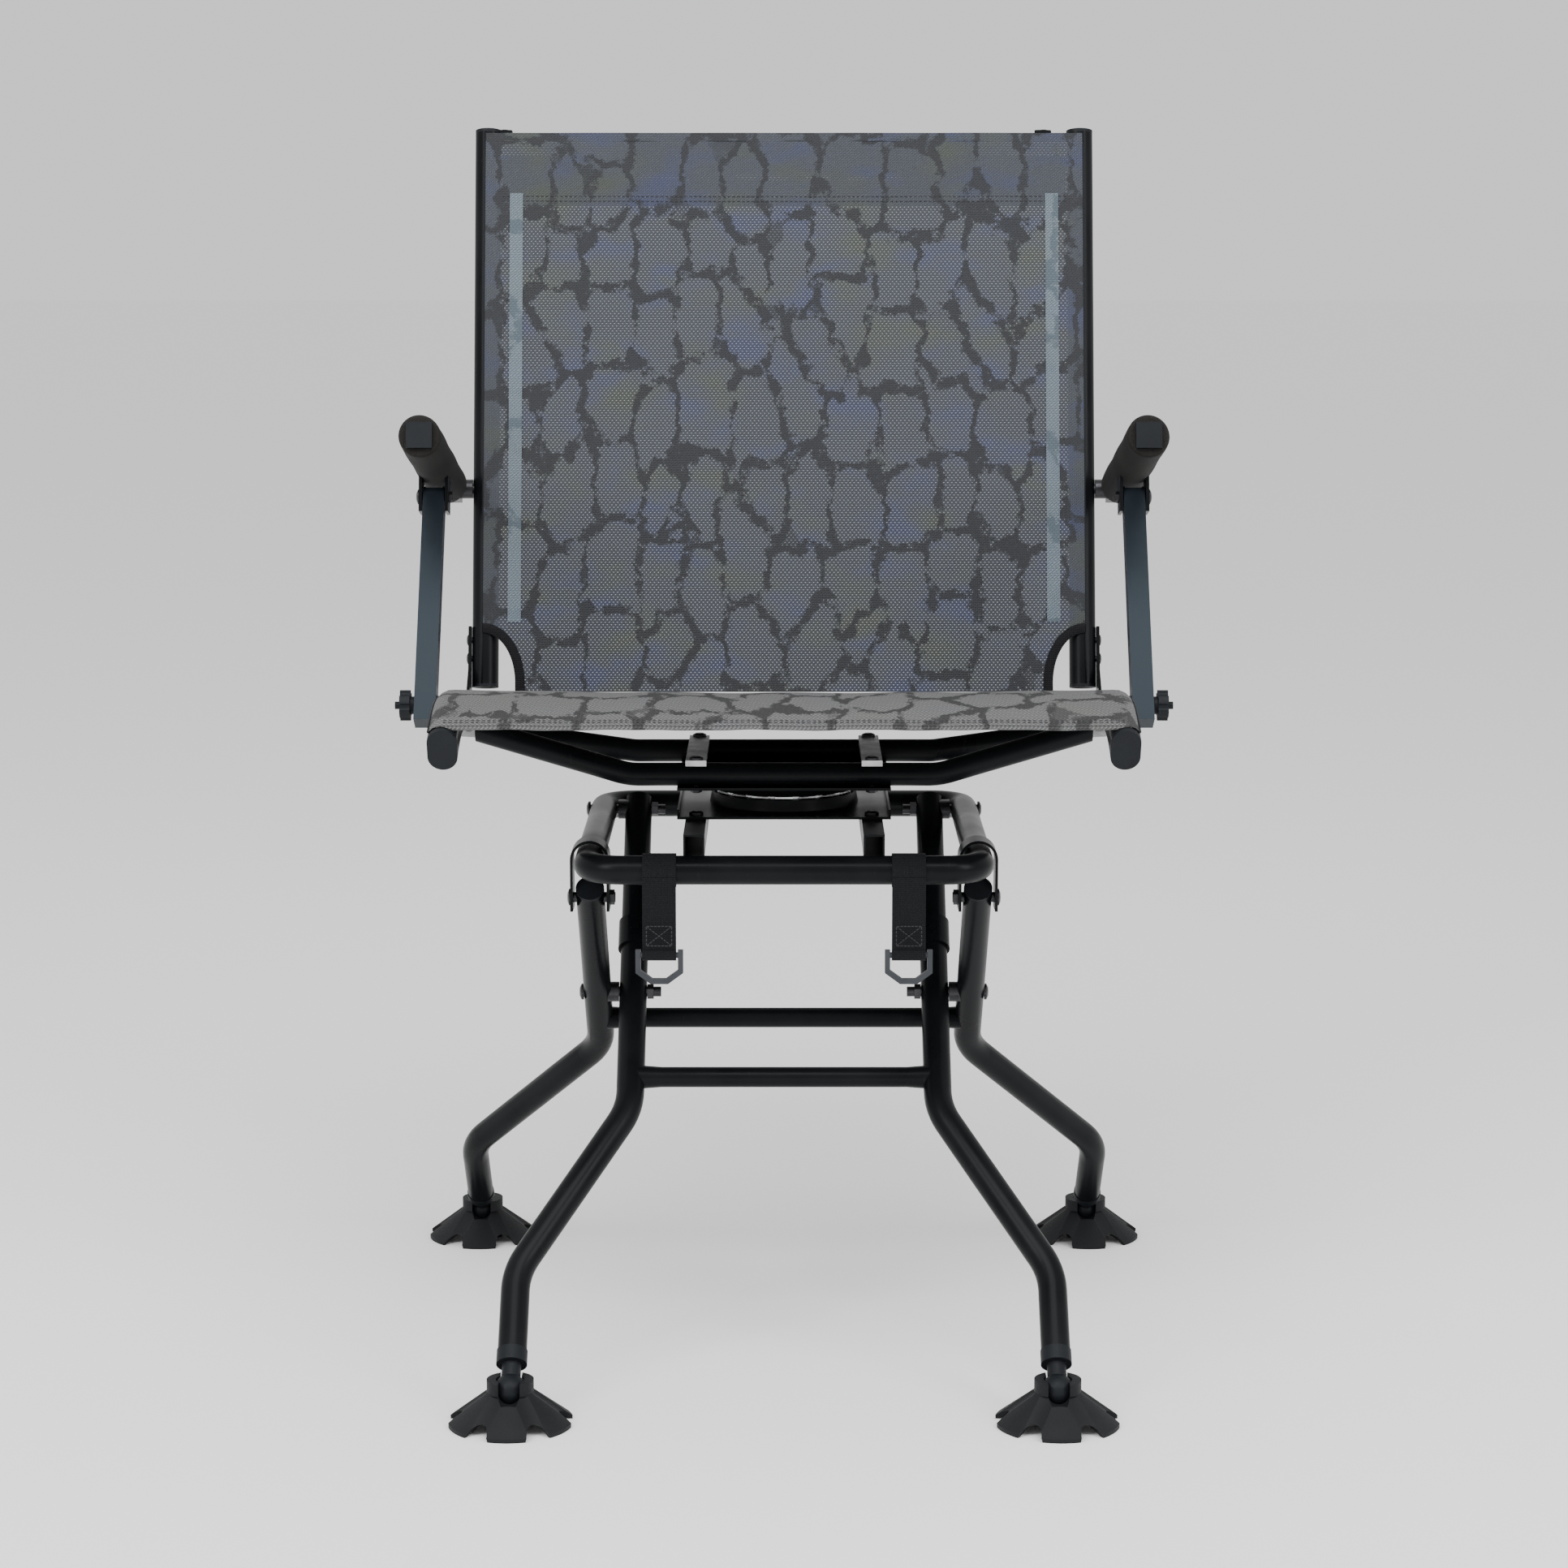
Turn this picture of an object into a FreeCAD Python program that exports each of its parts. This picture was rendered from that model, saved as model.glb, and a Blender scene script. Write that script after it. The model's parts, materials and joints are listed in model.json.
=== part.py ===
import FreeCAD, Part
import Sketcher
import math
import os

# Blind swivel chair. Millimetres, +Z up, -Y is the front, the floor is Z = 0.
# Heights and depths below are first given from the swivel axis; FORE_AFT_SHIFT then puts
# the origin under the middle of the chair's footprint box.

Vector = FreeCAD.Vector
doc = FreeCAD.newDocument("blind_swivel_chair")
sheet = doc.addObject("Spreadsheet::Sheet", "Sizes")

DRIVING_SIZES = {
    "fore_aft_shift": 5.0,
    "tube_outer": 22.0, "tube_wall": 1.5,
    "cross_tube_outer": 16.0, "seat_cross_outer": 18.0,
    "frame_half_width": 149.0, "frame_height": 398.0,
    "front_bar_depth": -152.0, "rear_bar_depth": 160.0,
    "front_bar_return": 102.0, "inner_leg_half": 120.5, "front_foot_half": 203.0, "rear_foot_half": 264.0,
    "scissor_station": 182.0, "saddle_station": 135.0, "leg_overhang": 10.0,
    "front_leg_short": 33.0, "rear_leg_short": 28.0,
    "ball_height": 25.0, "front_ball_depth": -258.0, "rear_ball_depth": 248.0,
    "ball_radius": 12.5, "socket_gap": 0.35, "running_gap": 0.05, "side_gap": 0.3,
    "leg_pivot_depth": 130.0, "leg_bolt_radius": 4.0,
    "deck_half": 68.0, "deck_tube": 16.0,
    "plate_size": 165.0, "plate_thick": 2.0, "lower_plate_height": 425.0, "upper_plate_height": 447.5,
    "race_radius": 52.0, "bearing_ball_radius": 4.0,
    "seat_cross_height": 458.5, "seat_cross_front": -70.0, "seat_cross_rear": 55.0,
    "rail_half": 249.0, "rail_width": 22.0, "rail_depth": 34.0, "rail_wall": 1.6,
    "rail_slope": 8.6, "rail_nose_turn": 33.6, "rail_nose_radius": 155.0, "rail_nose_depth": -141.5,
    "rail_rear_depth": 195.0,
    "hinge_depth": 130.2, "hinge_height": 480.9, "hinge_above_rail": 6.0, "hinge_ahead_of_post": 28.0,
    "back_lean": 13.27, "back_foot_height": 498.0, "back_top_height": 952.0,
    "sling_thick": 1.6,
    "arm_half": 280.0, "arm_tube": 20.0, "grip_outer": 33.0, "arm_slope": 13.5,
    "arm_pivot_height": 658.0, "arm_front_reach": 261.0,
    "strut_tube": 17.0, "strut_drop": 27.5, "strut_top_depth": 72.4,
    "catch_depth": -32.0, "catch_height": 507.0, "catch_thick": 2.2,
    "stud_radius": 3.0, "knob_radius": 12.0, "knob_thick": 8.0,
    "pad_radius": 46.5, "pad_hub_radius": 17.5, "pad_wall": 3.0,
    "strap_width": 25.4, "strap_half": 94.0, "strap_thick": 1.4, "strap_drop": 63.0, "ring_bar": 4.6,
}
for row_number, (alias, value) in enumerate(DRIVING_SIZES.items(), 1):
    sheet.set("A%d" % row_number, str(value))
    sheet.setAlias("A%d" % row_number, alias)
doc.recompute()


def size(alias):
    return float(sheet.get(alias))


SHIFT = Vector(0, size("fore_aft_shift"), 0)
CLEAR = size("running_gap")
SIDE_GAP = size("side_gap")
SIDES = (("left", -1), ("right", 1))
X_AXIS = Vector(1, 0, 0)
nodes = []


# ---------- document helpers ----------

def keep(item, name):
    """Names a finished sub-part and puts it in the shifted frame."""
    item.Label = name
    item.Placement = FreeCAD.Placement(SHIFT, FreeCAD.Rotation()).multiply(item.Placement)
    nodes.append(item)
    return item


def new_body(name):
    return doc.addObject("PartDesign::Body", "body_" + name)


def new_sketch(body, name, role):
    sketch = body.newObject("Sketcher::SketchObject", name)
    origin_plane = [item for item in body.Origin.OriginFeatures if item.Role == role][0]
    sketch.AttachmentSupport = [(origin_plane, "")]
    sketch.MapMode = "FlatFace"
    return sketch


def add_circle(sketch, radius, expression, x=0.0, y=0.0):
    """A circle whose radius constraint is bound to the sheet."""
    index = sketch.addGeometry(Part.Circle(Vector(x, y, 0), Vector(0, 0, 1), radius), False)
    constraint = sketch.addConstraint(Sketcher.Constraint("Radius", index, radius))
    sketch.setExpression("Constraints[%d]" % constraint, expression)
    return index


def add_outline(sketch, corners):
    """A closed outline of straight edges."""
    first = None
    for number, corner in enumerate(corners):
        following = corners[(number + 1) % len(corners)]
        line = Part.LineSegment(Vector(corner[0], corner[1], 0), Vector(following[0], following[1], 0))
        index = sketch.addGeometry(line, False)
        if number:
            sketch.addConstraint(Sketcher.Constraint("Coincident", index - 1, 2, index, 1))
        else:
            first = index
    sketch.addConstraint(Sketcher.Constraint("Coincident", index, 2, first, 1))
    return first


def add_stadium(sketch, width, height):
    """An upright flat-oval: straight sides, round top and bottom, centred on the sketch origin."""
    radius = width / 2
    straight = height / 2 - radius
    shapes = [
        Part.LineSegment(Vector(radius, -straight, 0), Vector(radius, straight, 0)),
        Part.Arc(Vector(radius, straight, 0), Vector(0, height / 2, 0), Vector(-radius, straight, 0)),
        Part.LineSegment(Vector(-radius, straight, 0), Vector(-radius, -straight, 0)),
        Part.Arc(Vector(-radius, -straight, 0), Vector(0, -height / 2, 0), Vector(radius, -straight, 0)),
    ]
    return [sketch.addGeometry(shape, False) for shape in shapes]


def add_path(sketch, points, bend_radius):
    """An open path of straight runs joined by tangent arcs; returns the number of edges."""
    previous = points[0]
    edges = []
    for number in range(1, len(points) - 1):
        corner = points[number]
        back = (points[number - 1] - corner).normalize()
        ahead = (points[number + 1] - corner).normalize()
        half_angle = back.getAngle(ahead) / 2
        setback = bend_radius / math.tan(half_angle)
        middle = (back + ahead).normalize() * (bend_radius / math.sin(half_angle) - bend_radius)
        arc_start = corner + back * setback
        arc_end = corner + ahead * setback
        edges.append(Part.LineSegment(previous, arc_start))
        edges.append(Part.Arc(arc_start, corner + middle, arc_end))
        previous = arc_end
    edges.append(Part.LineSegment(previous, points[-1]))
    for edge in edges:
        sketch.addGeometry(edge, False)
    return len(edges)


def bent_tube(name, route, bend_radius, outer, wall, normal=None):
    """A round tube along a flat route. outer and wall are sheet expressions."""
    start = route[0]
    axis = (start - route[1]).normalize()
    if normal is None:
        normal = axis.cross(route[2] - route[1]).normalize()
    across = normal.cross(axis)
    local = [Vector((point - start).dot(across), (point - start).dot(axis), 0) for point in route]
    body = new_body(name)
    ring = new_sketch(body, name + "_section", "XY_Plane")
    outer_radius = size(outer) / 2
    add_circle(ring, outer_radius, "Sizes.%s / 2" % outer)
    add_circle(ring, outer_radius - size(wall), "Sizes.%s / 2 - Sizes.%s" % (outer, wall))
    path = new_sketch(body, name + "_path", "XZ_Plane")
    edge_count = add_path(path, local, bend_radius)
    pipe = body.newObject("PartDesign::AdditivePipe", name + "_sweep")
    pipe.Profile = ring
    pipe.Spine = (path, ["Edge%d" % (edge + 1) for edge in range(edge_count)])
    doc.recompute()
    matrix = FreeCAD.Matrix(across.x, normal.x, axis.x, start.x,
                            across.y, normal.y, axis.y, start.y,
                            across.z, normal.z, axis.z, start.z, 0, 0, 0, 1)
    body.Placement = FreeCAD.Placement(matrix)
    return body


def cylinder(radius, length, start, direction):
    """A Part::Cylinder; radius and length are numbers or sheet expressions."""
    item = doc.addObject("Part::Cylinder", "rod")
    for field, given in (("Radius", radius), ("Height", length)):
        if isinstance(given, str):
            item.setExpression(field, given)
        else:
            setattr(item, field, given)
    item.Placement = FreeCAD.Placement(start, FreeCAD.Rotation(Vector(0, 0, 1), direction))
    return item


def box(corner, extent):
    item = doc.addObject("Part::Box", "block")
    item.Length, item.Width, item.Height = extent
    item.Placement.Base = corner
    return item


def fuse(parts):
    joined = doc.addObject("Part::MultiFuse", "joined")
    joined.Shapes = parts
    return joined


def cut(base, tools):
    tool = tools[0] if len(tools) == 1 else fuse(tools)
    result = doc.addObject("Part::Cut", "trimmed")
    result.Base = base
    result.Tool = tool
    return result


def group(parts):
    """Several separate solids in one node."""
    item = doc.addObject("Part::Compound", "set")
    item.Links = parts
    return item


def bolt(start, direction, shank, grip, head_radius=6.5, head=3.2, nut_radius=6.0, nut=5.0, tail=4.0):
    """Domed head at start, shank along direction through the grip, nut and a bare tail."""
    outward = direction * -1
    body_rod = cylinder(shank, grip + nut + tail, start, direction)
    head_disc = cylinder(head_radius, head * 0.55, start, outward)
    crown = doc.addObject("Part::Cone", "crown")
    crown.Radius1 = head_radius
    crown.Radius2 = head_radius * 0.55
    crown.Height = head * 0.45
    crown.Placement = FreeCAD.Placement(start + outward * (head * 0.55),
                                        FreeCAD.Rotation(Vector(0, 0, 1), outward))
    pieces = [body_rod, head_disc, crown]
    if nut:
        hexagon = doc.addObject("Part::Prism", "nut")
        hexagon.Polygon = 6
        hexagon.Circumradius = nut_radius
        hexagon.Height = nut
        hexagon.Placement = FreeCAD.Placement(start + direction * grip,
                                              FreeCAD.Rotation(Vector(0, 0, 1), direction))
        pieces.append(hexagon)
    return fuse(pieces)


# ---------- shared places, measured from the swivel axis ----------

LEG_PIVOT = Vector(0, size("leg_pivot_depth"), size("frame_height"))
FRONT_BALL = Vector(0, size("front_ball_depth"), size("ball_height"))
REAR_BALL = Vector(0, size("rear_ball_depth"), size("ball_height"))
INNER_DIRECTION = (FRONT_BALL - LEG_PIVOT).normalize()
INNER_LENGTH = (FRONT_BALL - LEG_PIVOT).Length
SCISSOR_FROM_PIVOT = size("scissor_station")
SCISSOR = LEG_PIVOT + INNER_DIRECTION * SCISSOR_FROM_PIVOT
OUTER_DIRECTION = (REAR_BALL - SCISSOR).normalize()
SADDLE_FROM_SCISSOR = size("saddle_station")
SADDLE_PIVOT = SCISSOR - OUTER_DIRECTION * SADDLE_FROM_SCISSOR
OUTER_LENGTH = (REAR_BALL - SADDLE_PIVOT).Length
HINGE = Vector(0, size("hinge_depth"), size("hinge_height"))
LEAN = math.radians(size("back_lean"))
BACK_UP = Vector(0, math.sin(LEAN), math.cos(LEAN))
BACK_FRONT = Vector(0, -math.cos(LEAN), math.sin(LEAN))
SLOPE = math.radians(size("rail_slope"))
RAIL_FORWARD = Vector(0, -math.cos(SLOPE), math.sin(SLOPE))
RAIL_UP = Vector(0, math.sin(SLOPE), math.cos(SLOPE))
ARM_SLOPE = math.radians(size("arm_slope"))
ARM_FORWARD = Vector(0, -math.cos(ARM_SLOPE), math.sin(ARM_SLOPE))
ARM_UP = Vector(0, math.sin(ARM_SLOPE), math.cos(ARM_SLOPE))
CATCH = Vector(0, size("catch_depth"), size("catch_height"))
HINGE_RIVETS = (21.5, 37.0)
DECK_BOLT_DEPTHS = (-68, 68)
SEAT_BOLT_DEPTHS = (size("seat_cross_front"), size("seat_cross_rear"))


def back_point(height):
    """The point of the back posts' centre plane at a height."""
    foot = HINGE - BACK_FRONT * size("hinge_ahead_of_post")
    return foot + BACK_UP * ((height - foot.z) / BACK_UP.z)


ARM_PIVOT = back_point(size("arm_pivot_height"))
STRUT_PIVOT = (ARM_PIVOT + ARM_FORWARD * ((ARM_PIVOT.y - size("strut_top_depth")) / math.cos(ARM_SLOPE))
               - ARM_UP * size("strut_drop"))


def at_x(point, x):
    return Vector(x, point.y, point.z)


def rail_centre(depth):
    """The point of the seat rail's centre line at a depth on its straight run."""
    start = HINGE - RAIL_UP * size("hinge_above_rail")
    return start + RAIL_FORWARD * ((start.y - depth) / math.cos(SLOPE))


# ---------- base frame ----------

def base_front_bar():
    half = size("frame_half_width")
    height = size("frame_height")
    front = size("front_bar_depth")
    joint = front + size("front_bar_return")
    route = [Vector(-half, joint, height), Vector(-half, front, height),
             Vector(half, front, height), Vector(half, joint, height)]
    keep(bent_tube("base_front_bar", route, 26, "tube_outer", "tube_wall"), "base_front_bar")


def base_rear_loop():
    half = size("frame_half_width")
    height = size("frame_height")
    start = size("front_bar_depth") + size("front_bar_return")
    rear = size("rear_bar_depth")
    route = [Vector(-half, start, height), Vector(-half, rear, height),
             Vector(half, rear, height), Vector(half, start, height)]
    loop = bent_tube("base_rear_loop", route, 26, "tube_outer", "tube_wall")
    holes = [running_bore(at_x(LEG_PIVOT, side * half - 20), 40) for _, side in SIDES]
    keep(cut(loop, holes), "base_rear_loop")


def deck_rails():
    """Two square tubes on the frame's bars, coped over them, that carry the swivel."""
    half = size("deck_half")
    width = size("deck_tube")
    height = size("frame_height")
    front = size("front_bar_depth")
    rear = size("rear_bar_depth")
    top = size("lower_plate_height")
    rails = []
    for _, side in SIDES:
        outside = box(Vector(side * half - width / 2, front, top - width - 2),
                      (width, rear - front, width + 2))
        inside = box(Vector(side * half - width / 2 + 1.5, front - 1, top - width - 0.5),
                     (width - 3, rear - front + 2, width - 1))
        bars = [cylinder("Sizes.tube_outer / 2", 60, Vector(side * half - 30, depth, height), X_AXIS)
                for depth in (front, rear)]
        bores = [cylinder(3.1, 8, Vector(side * half, depth, top - 6), Vector(0, 0, 1))
                 for depth in DECK_BOLT_DEPTHS]
        rails.append(cut(outside, [inside] + bars + bores))
    keep(group(rails), "deck_rails")


def swivel_plate(name, height, race_direction, bolt_depths):
    """A square plate with four bolt holes and a pressed ball race; the lower one has side lips."""
    plate = size("plate_size")
    body = new_body(name)
    outline = new_sketch(body, name + "_outline", "XY_Plane")
    edge = plate / 2
    first = add_outline(outline, [(-edge, -edge), (edge, -edge), (edge, edge), (-edge, edge)])
    width = outline.addConstraint(Sketcher.Constraint("Distance", first, plate))
    outline.setExpression("Constraints[%d]" % width, "Sizes.plate_size")
    add_circle(outline, 20, "20")
    for x in (-size("deck_half"), size("deck_half")):
        for y in bolt_depths:
            add_circle(outline, 3.1, "3.1", x, y)
    sheet_pad = body.newObject("PartDesign::Pad", name + "_sheet")
    sheet_pad.Profile = outline
    sheet_pad.setExpression("Length", "Sizes.plate_thick")
    race = new_sketch(body, name + "_race", "XZ_Plane")
    thick = size("plate_thick")
    inner, outer = size("race_radius") - 7, size("race_radius") + 7
    low = thick / 2
    rise = 8.7
    if race_direction < 0:
        corners = [(inner, low), (outer, low), (outer - 2, -rise), (inner + 2, -rise)]
    else:
        corners = [(inner, low), (inner + 2, thick + rise), (outer - 2, thick + rise), (outer, low)]
    add_outline(race, corners)
    ring = body.newObject("PartDesign::Revolution", name + "_ring")
    ring.Profile = race
    ring.ReferenceAxis = (race, ["V_Axis"])
    ring.Angle = 360
    if race_direction > 0:
        lips = new_sketch(body, name + "_lips", "XY_Plane")
        for low_x in (-edge, edge - 1.6):
            add_outline(lips, [(low_x, -edge + 4), (low_x + 1.6, -edge + 4),
                               (low_x + 1.6, edge - 4), (low_x, edge - 4)])
        lip_pad = body.newObject("PartDesign::Pad", name + "_edges")
        lip_pad.Profile = lips
        lip_pad.Length = 7
    groove = new_sketch(body, name + "_track", "XZ_Plane")
    track_height = -rise - 1.55 if race_direction < 0 else thick + rise + 1.55
    add_circle(groove, size("bearing_ball_radius") + CLEAR, "Sizes.bearing_ball_radius + Sizes.running_gap",
               size("race_radius"), track_height)
    track = body.newObject("PartDesign::Groove", name + "_groove")
    track.Profile = groove
    track.ReferenceAxis = (groove, ["V_Axis"])
    track.Angle = 360
    doc.recompute()
    body.Placement.Base = Vector(0, 0, height)
    keep(body, name)


def swivel_bearing():
    """Steel balls in a flat cage ring that run between the two pressed races."""
    ball_count = 18
    radius = size("race_radius")
    height = (size("lower_plate_height") + size("upper_plate_height") + size("plate_thick")) / 2
    balls = []
    for number in range(ball_count):
        angle = 2 * math.pi * number / ball_count
        ball = doc.addObject("Part::Sphere", "ball")
        ball.setExpression("Radius", "Sizes.bearing_ball_radius")
        ball.Placement.Base = Vector(radius * math.cos(angle), radius * math.sin(angle), height)
        balls.append(ball)
    ring = cylinder(radius + 3.2, 1.2, Vector(0, 0, height - 0.6), Vector(0, 0, 1))
    middle = cylinder(radius - 3.2, 4, Vector(0, 0, height - 2), Vector(0, 0, 1))
    keep(fuse(balls + [cut(ring, [middle])]), "swivel_balls")


def running_bore(start, length):
    """A bore along X with a running fit for the frame's main bolts."""
    return cylinder("Sizes.leg_bolt_radius + Sizes.running_gap", length, start, X_AXIS)


def plate_bolts(name, height, direction, grip, depths):
    bolts = [bolt(Vector(side * size("deck_half"), depth, height), direction, 3.0, grip,
                  5.5, 2.6, 4.6, 2.8, 0.6)
             for _, side in SIDES for depth in depths]
    keep(group(bolts), name)


# ---------- folding legs ----------

def leg(name, side, top, direction, straight, spread_end, top_x, foot_x, length, hole_stations):
    """A leg bent twice in its own slanted plane, from above its pivot to its foot."""
    start = at_x(top, side * top_x) - direction * size("leg_overhang")
    knee = at_x(top, side * top_x) + direction * straight
    ankle = at_x(top, side * foot_x) + direction * spread_end
    foot = at_x(top, side * foot_x) + direction * length
    tube = bent_tube(name, [start, knee, ankle, foot], 60, "tube_outer", "tube_wall")
    holes = [running_bore(at_x(top + direction * station, side * top_x - 20), 40)
             for station in hole_stations]
    keep(cut(tube, holes), name)


def leg_crossbar(name, station, half, outer):
    """A round bar between two legs, coped to them, with flared ends."""
    radius = size("cross_tube_outer") / 2
    bar = cylinder(radius, 2 * half, at_x(station, -half), X_AXIS)
    pieces = [bar]
    for _, side in SIDES:
        flare = doc.addObject("Part::Cone", "flare")
        flare.Radius1 = radius + 1.8
        flare.Radius2 = radius
        flare.Height = 24
        flare.Placement = FreeCAD.Placement(at_x(station, side * half),
                                            FreeCAD.Rotation(Vector(0, 0, 1), X_AXIS * -side))
        pieces.append(flare)
    legs = [cylinder("Sizes.tube_outer / 2", 80, at_x(station, side * half) - outer * 40, outer)
            for _, side in SIDES]
    hollow = cylinder(radius - 1.5, 2 * half + 20, at_x(station, -half - 10), X_AXIS)
    keep(cut(fuse(pieces), legs + [hollow]), name)


def pivot_set(name, place, head_gap, nut_gap, far_direction, near_direction):
    """Bolts through two side-by-side tubes, with a sleeve between them coped to the tube it turns with."""
    frame_half = size("frame_half_width")
    inner_half = size("inner_leg_half")
    tube = size("tube_outer") / 2
    pieces = []
    for _, side in SIDES:
        inward = X_AXIS * -side
        head = side * (frame_half + tube + head_gap)
        grip = frame_half - inner_half + 2 * tube + head_gap + nut_gap
        pieces.append(bolt(at_x(place, head), inward, "Sizes.leg_bolt_radius", grip, tail=6))
        sleeve = cylinder(8.0, frame_half - inner_half - 2 * tube + 6,
                          at_x(place, side * (frame_half - tube + 3)), inward)
        bore = cylinder("Sizes.leg_bolt_radius", 20, at_x(place, side * (frame_half - tube + 6)), inward)
        if far_direction:
            far_trim = cylinder(tube + CLEAR, 60, at_x(place, side * frame_half) - far_direction * 30,
                                far_direction)
        else:
            far_trim = cylinder(12, 8, at_x(place, side * (frame_half - tube - 3 * SIDE_GAP)), X_AXIS * side)
        if near_direction:
            near_trim = cylinder(tube + CLEAR, 60, at_x(place, side * inner_half) - near_direction * 30,
                                 near_direction)
        else:
            near_trim = cylinder(12, 8, at_x(place, side * (inner_half + tube + SIDE_GAP)), inward)
        pieces.append(cut(sleeve, [bore, far_trim, near_trim]))
    keep(group(pieces), name)


def leg_pivot_hardware():
    """The rear frame pivots turn with the inner legs; the scissor pivots turn with the outer legs."""
    pivot_set("leg_pivot_bolts", LEG_PIVOT, SIDE_GAP, CLEAR, None, INNER_DIRECTION)
    pivot_set("scissor_bolts", SCISSOR, CLEAR, SIDE_GAP, OUTER_DIRECTION, None)


def leg_end_caps(name, half, top, direction):
    """Round plastic plugs in the tops of the outer legs."""
    caps = []
    for _, side in SIDES:
        end = at_x(top, side * half) - direction * size("leg_overhang")
        rim = cylinder("Sizes.tube_outer / 2", 2.5, end, direction * -1)
        plug = cylinder("Sizes.tube_outer / 2 - Sizes.tube_wall - 0.02", 5, end, direction)
        caps.append(fuse([rim, plug]))
    keep(group(caps), name)


def lock_brackets():
    """U-shaped brackets that wrap the front of the inner legs, riveted through."""
    station = LEG_PIVOT + INNER_DIRECTION * 128
    tube = size("tube_outer") / 2
    brackets = []
    turn = FreeCAD.Rotation(Vector(0, 0, -1), INNER_DIRECTION)
    for _, side in SIDES:
        middle = at_x(station, side * size("inner_leg_half"))
        wrap = cylinder(tube + 2.2, 26, middle - INNER_DIRECTION * 13, INNER_DIRECTION)
        hollow = cylinder(tube + CLEAR, 40, middle - INNER_DIRECTION * 20, INNER_DIRECTION)
        rear_half = doc.addObject("Part::Box", "rear_half")
        rear_half.Length, rear_half.Width, rear_half.Height = 40, 30, 60
        rear_half.Placement = FreeCAD.Placement(middle + turn.multVec(Vector(-20, 7, -30)), turn)
        rivet_base = middle + turn.multVec(Vector(0, -tube - 1, 0))
        rivet = cylinder(3.4, 3.0, rivet_base, turn.multVec(Vector(0, -1, 0)))
        brackets.append(fuse([cut(wrap, [hollow, rear_half]), rivet]))
    keep(group(brackets), "lock_brackets")


def saddles():
    """Inverted-U slides that wrap the side tubes and hold the outer legs' tops."""
    half = size("frame_half_width")
    height = size("frame_height")
    tube = size("tube_outer") / 2
    length = 26
    pieces = []
    pins = []
    for _, side in SIDES:
        place = Vector(side * half, SADDLE_PIVOT.y - length / 2, height)
        crown = cylinder(tube + 4.0, length, place, Vector(0, 1, 0))
        skirt = box(Vector(side * half - tube - 4.0, place.y, SADDLE_PIVOT.z - 9),
                    (2 * tube + 8.0, length, height - SADDLE_PIVOT.z + 9))
        bore = cylinder(tube + 1.9, length + 4, place - Vector(0, 2, 0), Vector(0, 1, 0))
        slot = box(Vector(side * half - tube - 1.9, place.y - 2, SADDLE_PIVOT.z - 12),
                   (2 * tube + 3.8, length + 4, height - SADDLE_PIVOT.z + 12))
        hole = running_bore(at_x(SADDLE_PIVOT, side * half - 25), 50)
        pieces.append(cut(fuse([crown, skirt]), [bore, slot, hole]))
        outside = side * (half + tube + 4.0 + CLEAR)
        pins.append(bolt(at_x(SADDLE_PIVOT, outside), X_AXIS * -side, "Sizes.leg_bolt_radius",
                         2 * tube + 8.2, head=2.6, nut=3.5, tail=0.6))
    keep(group(pieces), "saddles")
    keep(group(pins), "saddle_bolts")


# ---------- levelling feet ----------

def foot_stems(name, half, ball_centre, direction, leg_end):
    """Ball stems: a plug in the tube's end, a collar, a stem and a ball."""
    stems = []
    tube_radius = size("tube_outer") / 2
    for _, side in SIDES:
        ball_place = at_x(ball_centre, side * half)
        ball = doc.addObject("Part::Sphere", "ball")
        ball.setExpression("Radius", "Sizes.ball_radius")
        ball.Placement.Base = ball_place
        tube_end = ball_place - direction * leg_end
        plug = cylinder(tube_radius - size("tube_wall") - 0.02, 18, tube_end - direction * 18, direction)
        collar = cylinder(tube_radius + 0.6, leg_end - 21.5, tube_end, direction)
        stem = cylinder(7.2, leg_end, tube_end, direction)
        stems.append(fuse([plug, collar, stem, ball]))
    keep(group(stems), name)


def skirt_flutes(centre):
    """Shallow valleys down the shoe's skirt, one above each arch."""
    hub = size("pad_hub_radius")
    radius = 22
    depth = 1.5
    fall = math.atan2(size("ball_height") - size("pad_wall"), size("pad_radius") - hub)
    tools = []
    for number in range(6):
        turn = math.radians(60 * number)
        out = Vector(math.cos(turn), math.sin(turn), 0)
        slope = out * math.cos(fall) - Vector(0, 0, math.sin(fall))
        normal = out * math.sin(fall) + Vector(0, 0, math.cos(fall))
        tools.append(cylinder(radius, 50, centre + out * hub + normal * (radius - depth), slope))
    return tools


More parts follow.
